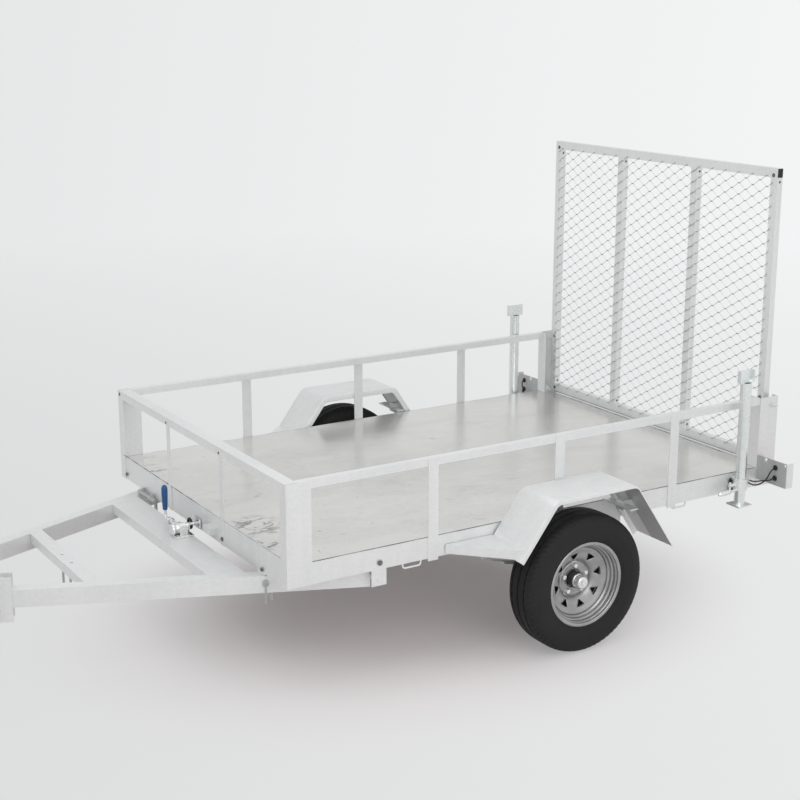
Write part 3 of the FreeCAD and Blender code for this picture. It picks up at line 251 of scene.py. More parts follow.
def polished(tree, shader, pattern, low, high):
    """Vary a shader's roughness between two values by a pattern."""
    tree.links.new(spread(tree, pattern, low, high), shader.inputs["Roughness"])


def zinc_coat(name, pale, dark, metal, gloss):
    """Dipped zinc: a slow cloudy bloom, fine upright runs and small crystals whose tone and polish hardly differ."""
    material, tree, shader, where = start(name, Metallic=metal)
    crystals = node(tree, "TexVoronoi", {"Vector": where, "Scale": 120.0, "Randomness": 1.0})
    bloom = node(tree, "TexNoise", {"Vector": where, "Scale": 3.2, "Detail": 7.0, "Roughness": 0.55})
    runs = node(tree, "TexNoise", {"Vector": stretched(tree, where, (26, 26, 2.5)), "Scale": 1.0, "Detail": 5.0})
    cell = node(tree, "SeparateColor", {0: crystals.outputs["Color"]}).outputs[0]
    slow = mixed_by(tree, 0.45, bloom.outputs["Fac"], runs.outputs["Fac"])
    coloured(tree, shader, mixed_by(tree, 0.16, slow, cell), (0.30, dark), (0.62, pale))
    polished(tree, shader, slow, gloss - 0.12, gloss + 0.14)
    bumped(tree, shader, slow, 0.0008, 0.2)
    return material


# middle and reach in metres of the patches where loads are dragged over the deck's front
SCUFFS = [(at(1118, 347, 539), 0.15), (at(1176, 548, 539), 0.09), (at(1153, -550, 539), 0.10)]


def deck_sheet():
    """Plain zinc sheet, half glossy, with faint smears, a soft bloom, and dark rub marks that gather near the front."""
    material, tree, shader, where = start("deck_galvanised", Metallic=0.72)
    smears = node(tree, "TexNoise", {"Vector": stretched(tree, where, (1.4, 3, 1)), "Scale": 1.5, "Detail": 8.0,
                                     "Roughness": 0.6, "Distortion": 0.8})
    bloom = node(tree, "TexNoise", {"Vector": where, "Scale": 1.5, "Detail": 6.0})
    crystals = node(tree, "TexVoronoi", {"Vector": where, "Scale": 90.0})
    cell = node(tree, "SeparateColor", {0: crystals.outputs["Color"]}).outputs[0]
    slow = mixed_by(tree, 0.5, smears.outputs["Fac"], bloom.outputs["Fac"])
    colour = ramp(tree, mixed_by(tree, 0.06, slow, cell), (0.33, (0.60, 0.59, 0.575)), (0.46, (0.685, 0.675, 0.66)),
                  (0.60, (0.75, 0.74, 0.725)))
    marks = node(tree, "TexNoise", {"Vector": stretched(tree, where, (10, 17, 1)), "Scale": 1.0, "Detail": 7.0,
                                    "Roughness": 0.72, "Distortion": 1.2}).outputs["Fac"]
    few = ramp(tree, marks, (0.61, grey(0)), (0.70, grey(1)))
    ahead = carried(tree, node(tree, "SeparateXYZ", {0: where}).outputs[0], -1.6, 0.42, 0.1, 0.85)
    worn = maths(tree, "MULTIPLY", few, ahead)
    scrapes = ramp(tree, marks, (0.50, grey(0)), (0.58, grey(1)))
    for centre, reach in SCUFFS:
        patch = carried(tree, vector(tree, "DISTANCE", where, centre), reach * 0.4, reach, 1.0, 0.0)
        worn = maths(tree, "MAXIMUM", worn, maths(tree, "MULTIPLY", patch, scrapes))
    final = node(tree, "Mix", {0: worn, 6: colour, 7: (0.24, 0.235, 0.23, 1)}, data_type="RGBA").outputs[2]
    tree.links.new(final, shader.inputs["Base Color"])
    polished(tree, shader, slow, 0.14, 0.34)
    bumped(tree, shader, slow, 0.0016, 0.22)
    return material


def wheel_paint():
    """Silver paint with a faint orange peel and an uneven film of dust."""
    material, tree, shader, where = start("wheel_silver", Metallic=0.8, Coat_Weight=0.15, Coat_Roughness=0.25)
    peel = node(tree, "TexNoise", {"Vector": where, "Scale": 380.0, "Detail": 2.0})
    dust = node(tree, "TexNoise", {"Vector": where, "Scale": 14.0, "Detail": 6.0, "Roughness": 0.65})
    coloured(tree, shader, dust.outputs["Fac"], (0.3, grey(0.31)), (0.65, grey(0.43)))
    polished(tree, shader, dust.outputs["Fac"], 0.28, 0.48)
    bumped(tree, shader, peel.outputs["Fac"], 0.0002, 0.2)
    return material


def rubber(name, tone, roughness, grain):
    """Moulded rubber: fine grain and a patchy, slightly warm bloom."""
    material, tree, shader, where = start(name, Metallic=0.0, Specular_IOR_Level=0.35)
    fine = node(tree, "TexNoise", {"Vector": where, "Scale": grain, "Detail": 5.0, "Roughness": 0.7})
    patches = node(tree, "TexNoise", {"Vector": where, "Scale": 11.0, "Detail": 5.0})
    mixed = mixed_by(tree, 0.5, fine.outputs["Fac"], patches.outputs["Fac"])
    coloured(tree, shader, mixed, (0.35, grey(tone * 0.75)), (0.65, grey(tone * 1.35, 0.02)))
    polished(tree, shader, mixed, roughness - 0.1, roughness + 0.12)
    bumped(tree, shader, fine.outputs["Fac"], 0.0005, 0.35)
    return material


def dipped_plastic(name, tone, deep, roughness):
    """Soft dipped plastic with a slightly uneven skin."""
    material, tree, shader, where = start(name, Metallic=0.0)
    skin = node(tree, "TexNoise", {"Vector": where, "Scale": 60.0, "Detail": 4.0}).outputs["Fac"]
    coloured(tree, shader, skin, (0.3, deep), (0.7, tone))
    polished(tree, shader, skin, roughness - 0.08, roughness + 0.1)
    bumped(tree, shader, skin, 0.0004, 0.3)
    return material


def lens():
    """Moulded lamp lens with fine upright flutes."""
    material, tree, shader, where = start("lamp_red", Metallic=0.0, Coat_Weight=0.6, Coat_Roughness=0.06)
    flutes = node(tree, "TexWave", {"Vector": where, "Scale": 60.0, "Distortion": 0.0}, bands_direction="Y")
    haze = node(tree, "TexNoise", {"Vector": where, "Scale": 30.0, "Detail": 4.0}).outputs["Fac"]
    coloured(tree, shader, haze, (0.3, (0.34, 0.012, 0.012)), (0.7, (0.55, 0.03, 0.025)))
    polished(tree, shader, haze, 0.12, 0.25)
    bumped(tree, shader, flutes.outputs["Fac"], 0.0012, 0.5)
    return material


FINISH = {
    "galvanised": zinc_coat("galvanised", (0.85, 0.858, 0.857), (0.77, 0.785, 0.783), 0.5, 0.42),
    "zinc_bright": zinc_coat("zinc_bright", grey(0.88), grey(0.74), 0.9, 0.26),
    "zinc_pipe": zinc_coat("zinc_pipe", (0.86, 0.89, 0.885), (0.72, 0.76, 0.75), 0.9, 0.27),
    # darker zinc: worn by the tilt pins, chain parts, pin grips, ramp foot strip and hoop pin, and painted shade on the
    # mudguards' undersides and the lamp plates
    "zinc_dull_and_painted_shade": zinc_coat("zinc_dull_and_painted_shade", (0.52, 0.53, 0.53), (0.43, 0.44, 0.44), 0.4, 0.42),
    # two copies of one mesh zinc: the darker is painted shade and the paler painted highlight on the ramp's strands
    "zinc_mesh_painted_highlight": zinc_coat("zinc_mesh_painted_highlight", (0.76, 0.77, 0.77), (0.67, 0.68, 0.68), 0.4, 0.45),
    "zinc_mesh_painted_shade": zinc_coat("zinc_mesh_painted_shade", (0.46, 0.47, 0.47), (0.37, 0.38, 0.38), 0.4, 0.45),
    "bolt_grey": zinc_coat("bolt_grey", (0.24, 0.24, 0.235), (0.15, 0.15, 0.15), 0.6, 0.4),
    "shadow_gap": rubber("shadow_gap", 0.07, 0.6, 260.0),
    "deck_galvanised": deck_sheet(),
    "wheel_silver": wheel_paint(),
    "hub_dark": rubber("hub_dark", 0.035, 0.5, 160.0),
    "tyre": rubber("tyre", 0.013, 0.70, 420.0),
    "rubber_black": rubber("rubber_black", 0.02, 0.5, 300.0),
    "grip_blue": dipped_plastic("grip_blue", (0.02, 0.11, 0.30), (0.012, 0.075, 0.22), 0.42),
    "lamp_red": lens(),
}
# nodes whose zinc looks different from the rest of the frame
SPECIAL = {"leg_left": "zinc_pipe", "leg_right": "zinc_pipe", "tilt_pins": "zinc_dull_and_painted_shade", "chain_hoop": "zinc_dull_and_painted_shade",
           "chain_shackle": "zinc_dull_and_painted_shade"}


def dress_nodes():
    """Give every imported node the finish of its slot, or the zinc that SPECIAL names for it."""
    for part in frame["record"]["subparts"]:
        mesh = frame["nodes"][part["node"]].data
        mesh.materials.clear()
        mesh.materials.append(FINISH[SPECIAL.get(part["node"], part["material_slot"])])


# ---------------------------------------------------------------- surfaces
def quads(rows, columns, wrap_rows=False, wrap_columns=False):
    """Faces of a grid of points numbered row by row; a wrapped direction joins its last line to its first."""
    row = np.arange(rows if wrap_rows else rows - 1)[:, None]
    column = np.arange(columns if wrap_columns else columns - 1)[None, :]
    after, beside = (row + 1) % rows, (column + 1) % columns
    corner = [row * columns + column, row * columns + beside, after * columns + beside, after * columns + column]
    return np.stack(corner, -1).reshape(-1, 4)


def make(name, points, faces, body, slot, stands_for=(), finish=None, sharp=32, closed=True):
    """A finished piece from its points and faces, riding on a body and wearing a slot's finish."""
    mesh = bpy.data.meshes.new(name)
    mesh.from_pydata(np.reshape(points, (-1, 3)).tolist(), [], np.asarray(faces).tolist())
    mesh.validate()
    if closed:
        shell = bmesh.new()
        shell.from_mesh(mesh)
        bmesh.ops.remove_doubles(shell, verts=shell.verts, dist=1e-6)
        bmesh.ops.recalc_face_normals(shell, faces=shell.faces)
        shell.to_mesh(mesh)
        shell.free()
    mesh.shade_smooth()
    mesh.set_sharp_from_angle(angle=math.radians(sharp))
    mesh.materials.append(finish or FINISH[slot])
    piece = bpy.data.objects.new(name, mesh)
    bpy.context.scene.collection.objects.link(piece)
    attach(piece, body)
    if stands_for:
        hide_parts(*stands_for)
    return piece


def around(axis):
    """Two unit vectors that make a right-handed set with an axis."""
    axis = np.asarray(axis, float) / np.linalg.norm(axis)
    helper = np.array([0, 0, 1.0]) if abs(axis[2]) < 0.9 else np.array([1.0, 0, 0])
    first = np.cross(helper, axis)
    first /= np.linalg.norm(first)
    return first, np.cross(axis, first)


def lathe(profile, centre, axis, steps):
    """Points of a turned form: centre + along * axis + radius * (cos t * u + sin t * w), with a row of them for each
    (along, radius) pair of the profile, both in mm."""
    profile = np.array(profile) * MM
    first, second = around(axis)
    angle = np.linspace(0, 2 * math.pi, steps, endpoint=False)
    ring = np.cos(angle)[:, None] * first + np.sin(angle)[:, None] * second
    return (np.asarray(centre) + profile[:, 0, None, None] * np.asarray(axis)
            + profile[:, 1, None, None] * ring[None])


def joined(parts):
    """Several (points, faces) pairs as one."""
    points, faces, count = [], [], 0
    for some, quad in parts:
        some = np.reshape(some, (-1, 3))
        points.append(some)
        faces.append(np.asarray(quad) + count)
        count += len(some)
    return np.concatenate(points), np.concatenate(faces)


def assembled(name, parts, body, slot, **more):
    """A finished piece made of several closed forms."""
    points, faces = joined(parts)
    return make(name, points, faces, body, slot, **more)


def turned(name, profile, centre, axis, body, slot, steps, **more):
    """A lathed piece whose profile runs once round its wall, so that it closes on itself."""
    points = lathe(profile, centre, axis, steps)
    return make(name, points, quads(len(profile), steps, True, True), body, slot, **more)


def spindle(profile, centre, axis, steps):
    """Points and faces of a lathed form whose profile starts and ends on its axis."""
    return lathe(profile, centre, axis, steps), quads(len(profile), steps, False, True)


# ---------------------------------------------------------------- ramp mesh
def ramp_mesh():
    """Expanded metal: each strand is one strip that steps up and down, z = row + way * rise * trapezium(y), bonded to
    its neighbours where the trapezium is flat; its flat section leans back, so that a strand is a row of louvres."""
    low, high = corners("gate_mesh")
    long_pitch, short_pitch = 0.084, 0.0495
    bond, strand, sheet = 0.011, 0.0034, 0.0013
    lean, overlap = math.radians(38), 0.8
    inset, forward = 0.014, 0.0004
    left, right = low[1] + inset, high[1] - inset
    bottom, top = low[2] + inset, high[2] - inset
    rows = int((top - bottom) / (short_pitch / 2))
    bottom = (top + bottom - rows * short_pitch / 2) / 2
    drop = strand * math.cos(lean)
    rise = (short_pitch / 2 - drop * overlap) / 2
    half = np.array([-bond / 2, bond / 2])
    first = math.floor(left / (long_pitch / 2))
    last = math.ceil(right / (long_pitch / 2))
    knots = (np.arange(first, last + 1)[:, None] * long_pitch / 2 + half).ravel()
    side = np.repeat(np.where(np.arange(first, last + 1) % 2 == 0, 1.0, -1.0), 2)
    across = np.clip(knots, left, right)
    share = np.interp(across, knots, side)
    section = np.array([[-0.5, -0.5], [0.5, -0.5], [0.5, 0.5], [-0.5, 0.5]]) * (sheet, strand)
    depth = section[:, 0] * math.cos(lean) - section[:, 1] * math.sin(lean)
    height = section[:, 0] * math.sin(lean) + section[:, 1] * math.cos(lean)
    order = np.arange(rows)
    middle = bottom + (order + 0.5) * short_pitch / 2
    way = np.where(order % 2 == 0, 1.0, -1.0)
    z = middle[:, None, None] + (way[:, None] * rise * share)[:, :, None] + height
    y = np.broadcast_to(across[None, :, None], z.shape)
    x = np.broadcast_to((low[0] + high[0]) / 2 + forward + depth, z.shape)
    points = np.stack([x, y, z], -1)
    count = len(across)
    strip = quads(count, 4, False, True)
    ends = np.array([[3, 2, 1, 0], [count * 4 - 4, count * 4 - 3, count * 4 - 2, count * 4 - 1]])
    faces = (np.concatenate([strip, ends])[None] + (order * count * 4)[:, None, None]).reshape(-1, 4)
    panel = make("ramp_mesh", points, faces, "ramp", "galvanised", ("gate_mesh",), FINISH["zinc_mesh_painted_shade"], sharp=20,
                 closed=False)
    # painted light: strands that rise towards the left side keep the darker copy of the mesh zinc as painted shade, the
    # others wear the paler copy as painted highlight
    panel.data.materials.append(FINISH["zinc_mesh_painted_highlight"])
    painted_highlight_strands = np.repeat(way[:, None] * np.diff(share)[None, :] < 0, 4, axis=1)
    painted_highlight_strands = np.concatenate([painted_highlight_strands, np.zeros((rows, 2), bool)], 1)
    panel.data.polygons.foreach_set("material_index", painted_highlight_strands.ravel().astype(np.int32))


# ---------------------------------------------------------------- wheels
def pulse(value, share):
    """1 for a share of each unit of value and 0 for the rest."""
    return (value % 1.0 < share).astype(float)


# half of the tyre's section from the bead outwards, as (across, radius) in mm
SIDEWALL = [(66, 165.6), (66.6, 171), (68.5, 179), (72.5, 188), (73.8, 190), (75.4, 190.6), (78.2, 203), (79.6, 211),
            (80.6, 219), (81.3, 228), (81.3, 236), (80.6, 243), (80.0, 244.2), (79.4, 250), (77.6, 258), (76.0, 263.5),
            (74.6, 264.5), (73.2, 268.5), (70.5, 273), (66.5, 277.8), (62.5, 281.3), (58, 284), (53, 286), (49, 287)]
# the tread up to the middle, as (across, radius, 1 where the point sways with a groove's zigzag)
TREAD = [(43, 287.9, 0), (42.6, 286.5, 1), (41.4, 280.4, 1), (36.6, 280.4, 1), (35.4, 286.8, 1), (35, 288.3, 0),
         (22, 288.7, 0), (10, 288.9, 0), (5.4, 288.9, 0), (5, 287.5, 1), (3.2, 281, 1)]
TYRE_BORE = [(-60, 166), (60, 166)]
ZIGZAGS, ZIGZAG_SWAY = 48, 1.1
NOTCHES, NOTCH_DEPTH, NOTCH_SHARE, NOTCH_LEAN = 72, 3.6, 0.24, 0.035
SHOULDER, SHOULDER_REACH = 63, 12


def tyre(side, body):
    """Radial tyre: radius(a, t) = wall(a) - 8 mm in three zigzag grooves - 3.6 mm in the notches of both shoulders."""
    centre = PIVOT[body + "_spin"]
    right = np.array([(across, radius, 0) for across, radius in SIDEWALL] + TREAD)
    line = np.concatenate([right, right[::-1] * (-1, 1, 1)])
    steps = 576
    angle = np.linspace(0, 2 * math.pi, steps, endpoint=False)
    zig = np.abs((angle * ZIGZAGS / (2 * math.pi)) % 1.0 * 2 - 1) * 2 - 1
    across = line[:, None, 0] + line[:, None, 2] * zig * ZIGZAG_SWAY
    off_middle = np.abs(line[:, None, 0])
    shoulder = np.exp(-((off_middle - SHOULDER) / SHOULDER_REACH) ** 4)
    notch = pulse(angle * NOTCHES / (2 * math.pi) + off_middle * NOTCH_LEAN, NOTCH_SHARE)
    radius = line[:, 1:2] - NOTCH_DEPTH * shoulder * notch
    outward = np.array([0, side, 0])
    first, second = around(outward)
    ring = np.cos(angle)[:, None] * first + np.sin(angle)[:, None] * second
    points = centre + MM * (across[..., None] * outward + radius[..., None] * ring)
    points = np.concatenate([points, lathe(TYRE_BORE, centre, outward, steps)])
    faces = quads(len(points), steps, True, True)[:, ::-1]
    name = "left" if side > 0 else "right"
    make(f"tyre_{name}_treaded", points, faces, body, "tyre", (f"tyre_{name}",), sharp=40)


# turned profiles as (outwards along the axle, radius) in mm
RIM_WALL = [(72, 169.5), (72, 172.5), (71, 175.4), (69.4, 176.8), (67.6, 176.4), (66.4, 174.4), (66, 171.5),
            (66, 166.4), (63, 165.1), (40, 163.6), (36.5, 162.6), (34, 160), (28.5, 149.5), (26, 147.6), (22, 147),
            (-22, 147), (-26, 147.6), (-28.5, 149.5), (-34, 160), (-36.5, 162.6), (-40, 163.6), (-63, 165.1),
            (-66, 166.4), (-66, 171.5), (-66.4, 174.4), (-67.6, 176.4), (-69.4, 176.8), (-71, 175.4), (-72, 172.5),
            (-72, 169.5), (-71, 165.5), (-68.5, 162.4), (-65, 161.2), (-39, 159.6), (-35.5, 158.4), (-33, 156),
            (-27, 145.6), (-24.5, 143.6), (-21, 143), (21, 143), (24.5, 143.8), (27, 146.4), (29, 149.2), (30.6, 150.2),
            (39, 150.8), (41, 152), (42.6, 155.2), (44, 157), (46, 157.6), (57, 158.2), (58.6, 159.2), (60, 161.8),
            (62, 162.6), (65, 162.4), (68.5, 163), (71, 166)]
DISC_FACE = [(9.5, 141.4), (14, 141.4), (17.6, 140.6), (19.2, 138), (19, 134.8), (17, 131), (14.6, 126), (12.6, 121),
             (11.2, 117), (9.6, 110), (7.6, 103), (4.8, 96), (2.2, 91), (-1.4, 86), (-6, 81.6), (-11.5, 78),
             (-15.6, 75.4), (-16.4, 73), (-15.4, 70.4), (-13.4, 68.2), (-12.8, 66), (-13.2, 63.8), (-14.2, 62.2),
             (-14.2, 52), (-14.2, 43), (-14.8, 40), (-16.4, 38.2), (-19, 38)]
DRUM = [(-20, 60), (-18, 62), (-18, 134), (-20, 136), (-44, 136), (-46, 134), (-46, 60)]
HUB = [(-80, 30), (-78, 33), (13, 33), (15, 31), (17, 27.6), (17, 2), (-80, 2)]
DUST_CAP = [(17, 24), (17, 29.5), (19.5, 29.5), (21, 27.6), (40, 27.2), (46, 26), (50, 23), (51.5, 20), (52, 12),
            (54.5, 11), (55.6, 8), (56, 0.3), (50, 0.2), (48, 20)]
# vents: how many, the radii that they lie between, and degrees from straight up to the first
VENTS, VENT_INNER, VENT_OUTER, VENT_TURN = 8, 91, 117, -10
DISC_THICKNESS = 3.6
# wheel nuts: how many, their circle's radius and their seat along the axle
STUDS, STUD_RADIUS, SEAT = 5, 57.15, -14.2


def disc(name, side, body, centre, outward, up, ahead):
    """Dished disc: each eighth of it has a three-cornered vent, and the grid's columns bend so that the vent's sides
    lie on them: angle = s * 22.5 degrees outside and scaled by the vent's half angle inside."""
    face = np.array(DISC_FACE)
    wide, narrow = math.radians(10.2), math.radians(1.8)
    opening = np.interp(face[:, 1], [VENT_INNER, VENT_OUTER], [narrow, wide])
    sector = math.pi / VENTS
    beyond = np.linspace(0, 1, 5)
    inside = np.linspace(-1, 1, 5)
    angle = np.concatenate([-sector + beyond[None, :-1] * (sector - opening[:, None]),
                            inside[None, :] * opening[:, None],
                            opening[:, None] + beyond[None, 1:-1] * (sector - opening[:, None])], 1)
    spots = math.radians(VENT_TURN) + np.arange(VENTS) * 2 * sector
    full = (spots[None, :, None] + angle[:, None, :]).reshape(len(face), -1)
    ring = np.cos(full)[..., None] * up + np.sin(full)[..., None] * ahead
    points = centre + MM * (face[:, 0, None, None] * outward + face[:, 1, None, None] * ring)
    columns = full.shape[1]
    faces = quads(len(face), columns, False, True)
    row, column = np.divmod(np.arange(len(faces)), columns)
    radius = (face[row, 1] + face[row + 1, 1]) / 2
    strip = column % angle.shape[1]
    # strips 4 to 7 of an eighth's 12 lie between its vent's two sides
    vent = (radius < VENT_OUTER) & (radius > VENT_INNER) & (strip >= 4) & (strip < 8)
    faces = faces[~vent]
    piece = make(f"rim_{name}_disc", points, faces if side > 0 else faces[:, ::-1], body, "wheel_silver", closed=False)
    wall = piece.modifiers.new("wall", "SOLIDIFY")
    wall.thickness, wall.offset = DISC_THICKNESS * MM, -1
    wall.use_even_offset = True


def wheel(side, body):
    """Rolled barrel, vented disc, the dark drum behind the vents, hub, dust cap and wheel nuts."""
    centre = PIVOT[body + "_spin"]
    outward = np.array([0.0, side, 0.0])
    # angles count clockwise from straight up as seen from outside
    up, ahead = np.array([0, 0, 1.0]), np.array([-1.0, 0, 0]) * side
    name = "left" if side > 0 else "right"
    turned(f"rim_{name}_barrel", RIM_WALL[::-1], centre, outward, body, "wheel_silver", 144,
           stands_for=(f"rim_{name}",))
    disc(name, side, body, centre, outward, up, ahead)
    turned(f"drum_{name}", DRUM[::-1], centre, outward, body, "hub_dark", 72)
    turned(f"hub_{name}_barrel", HUB[::-1], centre, outward, body, "hub_dark", 64, stands_for=(f"hub_{name}",))
    turned(f"dust_cap_{name}", DUST_CAP[::-1], centre, outward, body, "hub_dark", 64, finish=FINISH["zinc_bright"])
    angle = np.arange(STUDS) * 2 * math.pi / STUDS
    ring = np.cos(angle)[:, None] * up + np.sin(angle)[:, None] * ahead
    studs = centre + STUD_RADIUS * MM * ring + SEAT * MM * outward
    fasteners(f"wheel_nuts_{name}", [(stud, outward, 19, 16) for stud in studs], body, "hub_dark",
              FINISH["zinc_bright"])


# ---------------------------------------------------------------- bolts
def fasteners(name, places, body, slot, finish=None):
    """Hexagon heads on washers. A head is a grid of 12 steps round and its rings up, and a ring of the head itself has
    the radius half width / cos(t mod 60 - 30), which is a hexagon. Places are (foot, direction, width over flats in
    mm, height in mm); rings are (share of the height, share of the width over flats, outline)."""
    steps = 12
    angle = np.arange(steps) * 2 * math.pi / steps
    hexagon = 1 / np.cos(angle % math.radians(60) - math.radians(30))
    circle = np.ones(steps)
    rings = [(0.0, 1.02, circle), (0.14, 1.02, circle), (0.16, 0.98, circle), (0.16, 0.5, hexagon),
             (0.86, 0.5, hexagon), (0.97, 0.47, circle), (1.0, 0.42, circle), (1.0, 0.22, circle), (1.0, 0.02, circle)]
    parts = []
    for foot, direction, flats, height in places:
        first, second = around(direction)
        ring = np.cos(angle)[:, None] * first + np.sin(angle)[:, None] * second
        grid = np.stack([np.asarray(foot) + MM * (up * height * np.asarray(direction, float)
                                                 + flats * (reach * shape)[:, None] * ring)
                         for up, reach, shape in rings])
        parts.append((grid, quads(len(rings), steps, False, True)))
    return assembled(name, parts, body, slot, finish=finish, sharp=28)


# ---------------------------------------------------------------- bars, plates and folded sheet
def rounded(path, radii, steps):
    """A polyline with each corner turned into an arc that touches both its sides: the arc's middle lies on the
    corner's bisector at radius / sin(half angle), and the arc is a blend of its two ends by sines of the sweep."""
    path = [np.asarray(point, float) for point in path]
    points = [path[0][None]]
    share = np.linspace(0, 1, steps)[:, None]
    for before, corner, after, radius in zip(path, path[1:], path[2:], radii):
        back = (before - corner) / np.linalg.norm(before - corner)
        onward = (after - corner) / np.linalg.norm(after - corner)
        half = math.acos(float(np.clip(back @ onward, -1, 1))) / 2
        bisector = (back + onward) / np.linalg.norm(back + onward)
        middle = corner + bisector * radius / math.sin(half)
        first = corner + back * radius / math.tan(half) - middle
        last = corner + onward * radius / math.tan(half) - middle
        sweep = math.pi - 2 * half
        blend = (np.sin((1 - share) * sweep) * first + np.sin(share * sweep) * last) / math.sin(sweep)
        points.append(middle + blend)
    points.append(path[-1][None])
    return np.concatenate(points)


def swept(line, radius, flat, steps=14, squash=1.0):
    """A round bar along a line in metres: point(s, t) = line(s) + radius(s) * (cos t * u(s) + squash * sin t * w), with
    w the normal of the plane that the line lies in, given as flat, and u at right angles to w and the line; both ends
    close in a point."""
    line = np.asarray(line, float)
    radius = np.broadcast_to(np.asarray(radius, float), (len(line),)).copy()
    tangent = np.gradient(line, axis=0)
    tangent /= np.linalg.norm(tangent, axis=1)[:, None]
    w = np.asarray(flat, float) / np.linalg.norm(flat)
    u = np.cross(tangent, w)
    u /= np.linalg.norm(u, axis=1)[:, None]
    line = np.concatenate([line[:1], line, line[-1:]])
    u = np.concatenate([u[:1], u, u[-1:]])
    radius = np.concatenate([[0], radius, [0]])
    angle = np.linspace(0, 2 * math.pi, steps, endpoint=False)[None, :, None]
    points = line[:, None] + radius[:, None, None] * (np.cos(angle) * u[:, None] + squash * np.sin(angle) * w)
    return points, quads(len(line), steps, False, True)


def tile(centre, across, up, half, depth, corner, edge, steps=6):
    """A flat plate with rounded corners and softened edges, in mm about a point in metres: its outline is a rectangle
    whose corners are quarter circles, drawn in by the edge on both faces and closed at the middle of each."""
    across, up = np.asarray(across, float), np.asarray(up, float)
    out = np.cross(across, up)
    turn = np.linspace(0, math.pi / 2, steps)
    quarter = np.stack([np.cos(turn), np.sin(turn)], 1)
    half = np.asarray(half, float)
    outline = np.concatenate([sign * (half - corner + corner * quarter[::order]) for sign, order in
                              zip(np.array([(1, 1), (-1, 1), (-1, -1), (1, -1)]), (1, -1, 1, -1))])
    inset = 1 - edge / half
    rows = [(-depth / 2, 0), (-depth / 2, inset), (-depth / 2 + edge, 1), (depth / 2 - edge, 1), (depth / 2, inset),
            (depth / 2, 0)]
    grid = [np.asarray(centre) + MM * (high * out + (outline * size)[:, :1] * across + (outline * size)[:, 1:] * up)
            for high, size in rows]
    return np.stack(grid), quads(len(rows), len(outline), False, True)


# the mudguard's bent line seen from the side as (ahead of the axle, height) in mm, and its bends' radius
GUARD_LINE, GUARD_BEND = [(339.1, 453), (173, 671), (-235, 671), (-436.7, 372)], 52
# (ahead of the axle, how far the lip turns down)
OUTER_LIP = [(-437, 5), (-262, 5), (-215, 13), (120, 16), (190, 22), (340, 22)]
INNER_LIP = 26.0
# the last is how far across, in mm, the underside's painted shade begins
GUARD_INNER, GUARD_WIDTH, GUARD_WALL, UNDERSIDE_SHADE_EDGE = 814, 226.0, 2.0, 90.0


def mudguard(side, name):
    """Sheet bent over the wheel: point(s, c) = line(s) - depth(s, c) * normal(s) at y(c). The line is three straight
    runs joined by arcs, and the section is a flat top whose edges turn down in lips that narrow towards the rear."""
    line = rounded(GUARD_LINE, (GUARD_BEND, GUARD_BEND), 12)
    tangent = np.gradient(line, axis=0)
    tangent /= np.linalg.norm(tangent, axis=1)[:, None]
    normal = np.stack([tangent[:, 1], -tangent[:, 0]], 1)
    outer_lip = np.interp(line[:, 0], *np.transpose(OUTER_LIP))
    inner_lip = np.full(len(line), INNER_LIP)
    width, wall, split = GUARD_WIDTH, GUARD_WALL, UNDERSIDE_SHADE_EDGE
    # (across, down), over the top and back beneath; down is None at the lips' edges
    top = [(width, None), (width, 5), (width - 1.4, 1.4), (width - 5, 0), (split, 0), (5, 0), (1.4, 1.4), (0, 5),
           (0, None)]
    beneath = [(wall, None), (wall, 5.4), (3.2, 3.2), (5.4, wall), (split, wall), (width - 5.4, wall),
               (width - 3.2, 3.2), (width - wall, 5.4), (width - wall, None)]
    section = top + beneath
    y = GUARD_INNER + np.array([across for across, down in section])
    depth = np.stack([np.full(len(line), down) if down is not None else (outer_lip if across > 100 else inner_lip)
                      for across, down in section], 1)
    grid = np.empty((len(line), len(section), 3))
    grid[..., 0] = AXLE + MM * (line[:, None, 0] - depth * normal[:, None, 0])
    grid[..., 1] = side * MM * y
    grid[..., 2] = MM * (line[:, None, 1] - depth * normal[:, None, 1])
    count = len(section)
    pair = np.arange(count // 2 - 1)
    cap = np.stack([pair, pair + 1, count - 2 - pair, count - 1 - pair], 1)
    faces = np.concatenate([quads(len(line), count, False, True), cap, cap + (len(line) - 1) * count])
    guard = make(name, grid, faces, "bed", "galvanised", ("mudguards",), sharp=35)
    # painted shade: the underside from the split outwards wears the darker zinc
    guard.data.materials.append(FINISH["zinc_dull_and_painted_shade"])
    order = np.arange(len(faces))
    first = len(top) + beneath.index((split, wall))
    painted_shade_faces = (order % count >= first) & (order % count < first + 4) & (order < (len(line) - 1) * count)
    guard.data.polygons.foreach_set("material_index", painted_shade_faces.astype(np.int32))


# ---------------------------------------------------------------- lamp leads
# routes in mm as (ahead of PLATE_X, outwards from the middle, above LEAD_Z), and lengths in metres
PLATE_X, LEAD_Z = -1113, 487
LEADS = {"upper": ([(0, 925, 80), (14, 925, 79), (23, 914, 56), (21, 897, 22), (27, 871, -3), (34, 845, -16),
                    (38, 825, -17), (38, 807, -15)], 0.176),
         "lower": ([(0, 925, 33), (12, 925, 33), (20, 912, 22), (29, 894, 18), (34, 869, 10), (30, 843, 0),
                    (30, 825, -5), (30, 807, -5)], 0.141)}


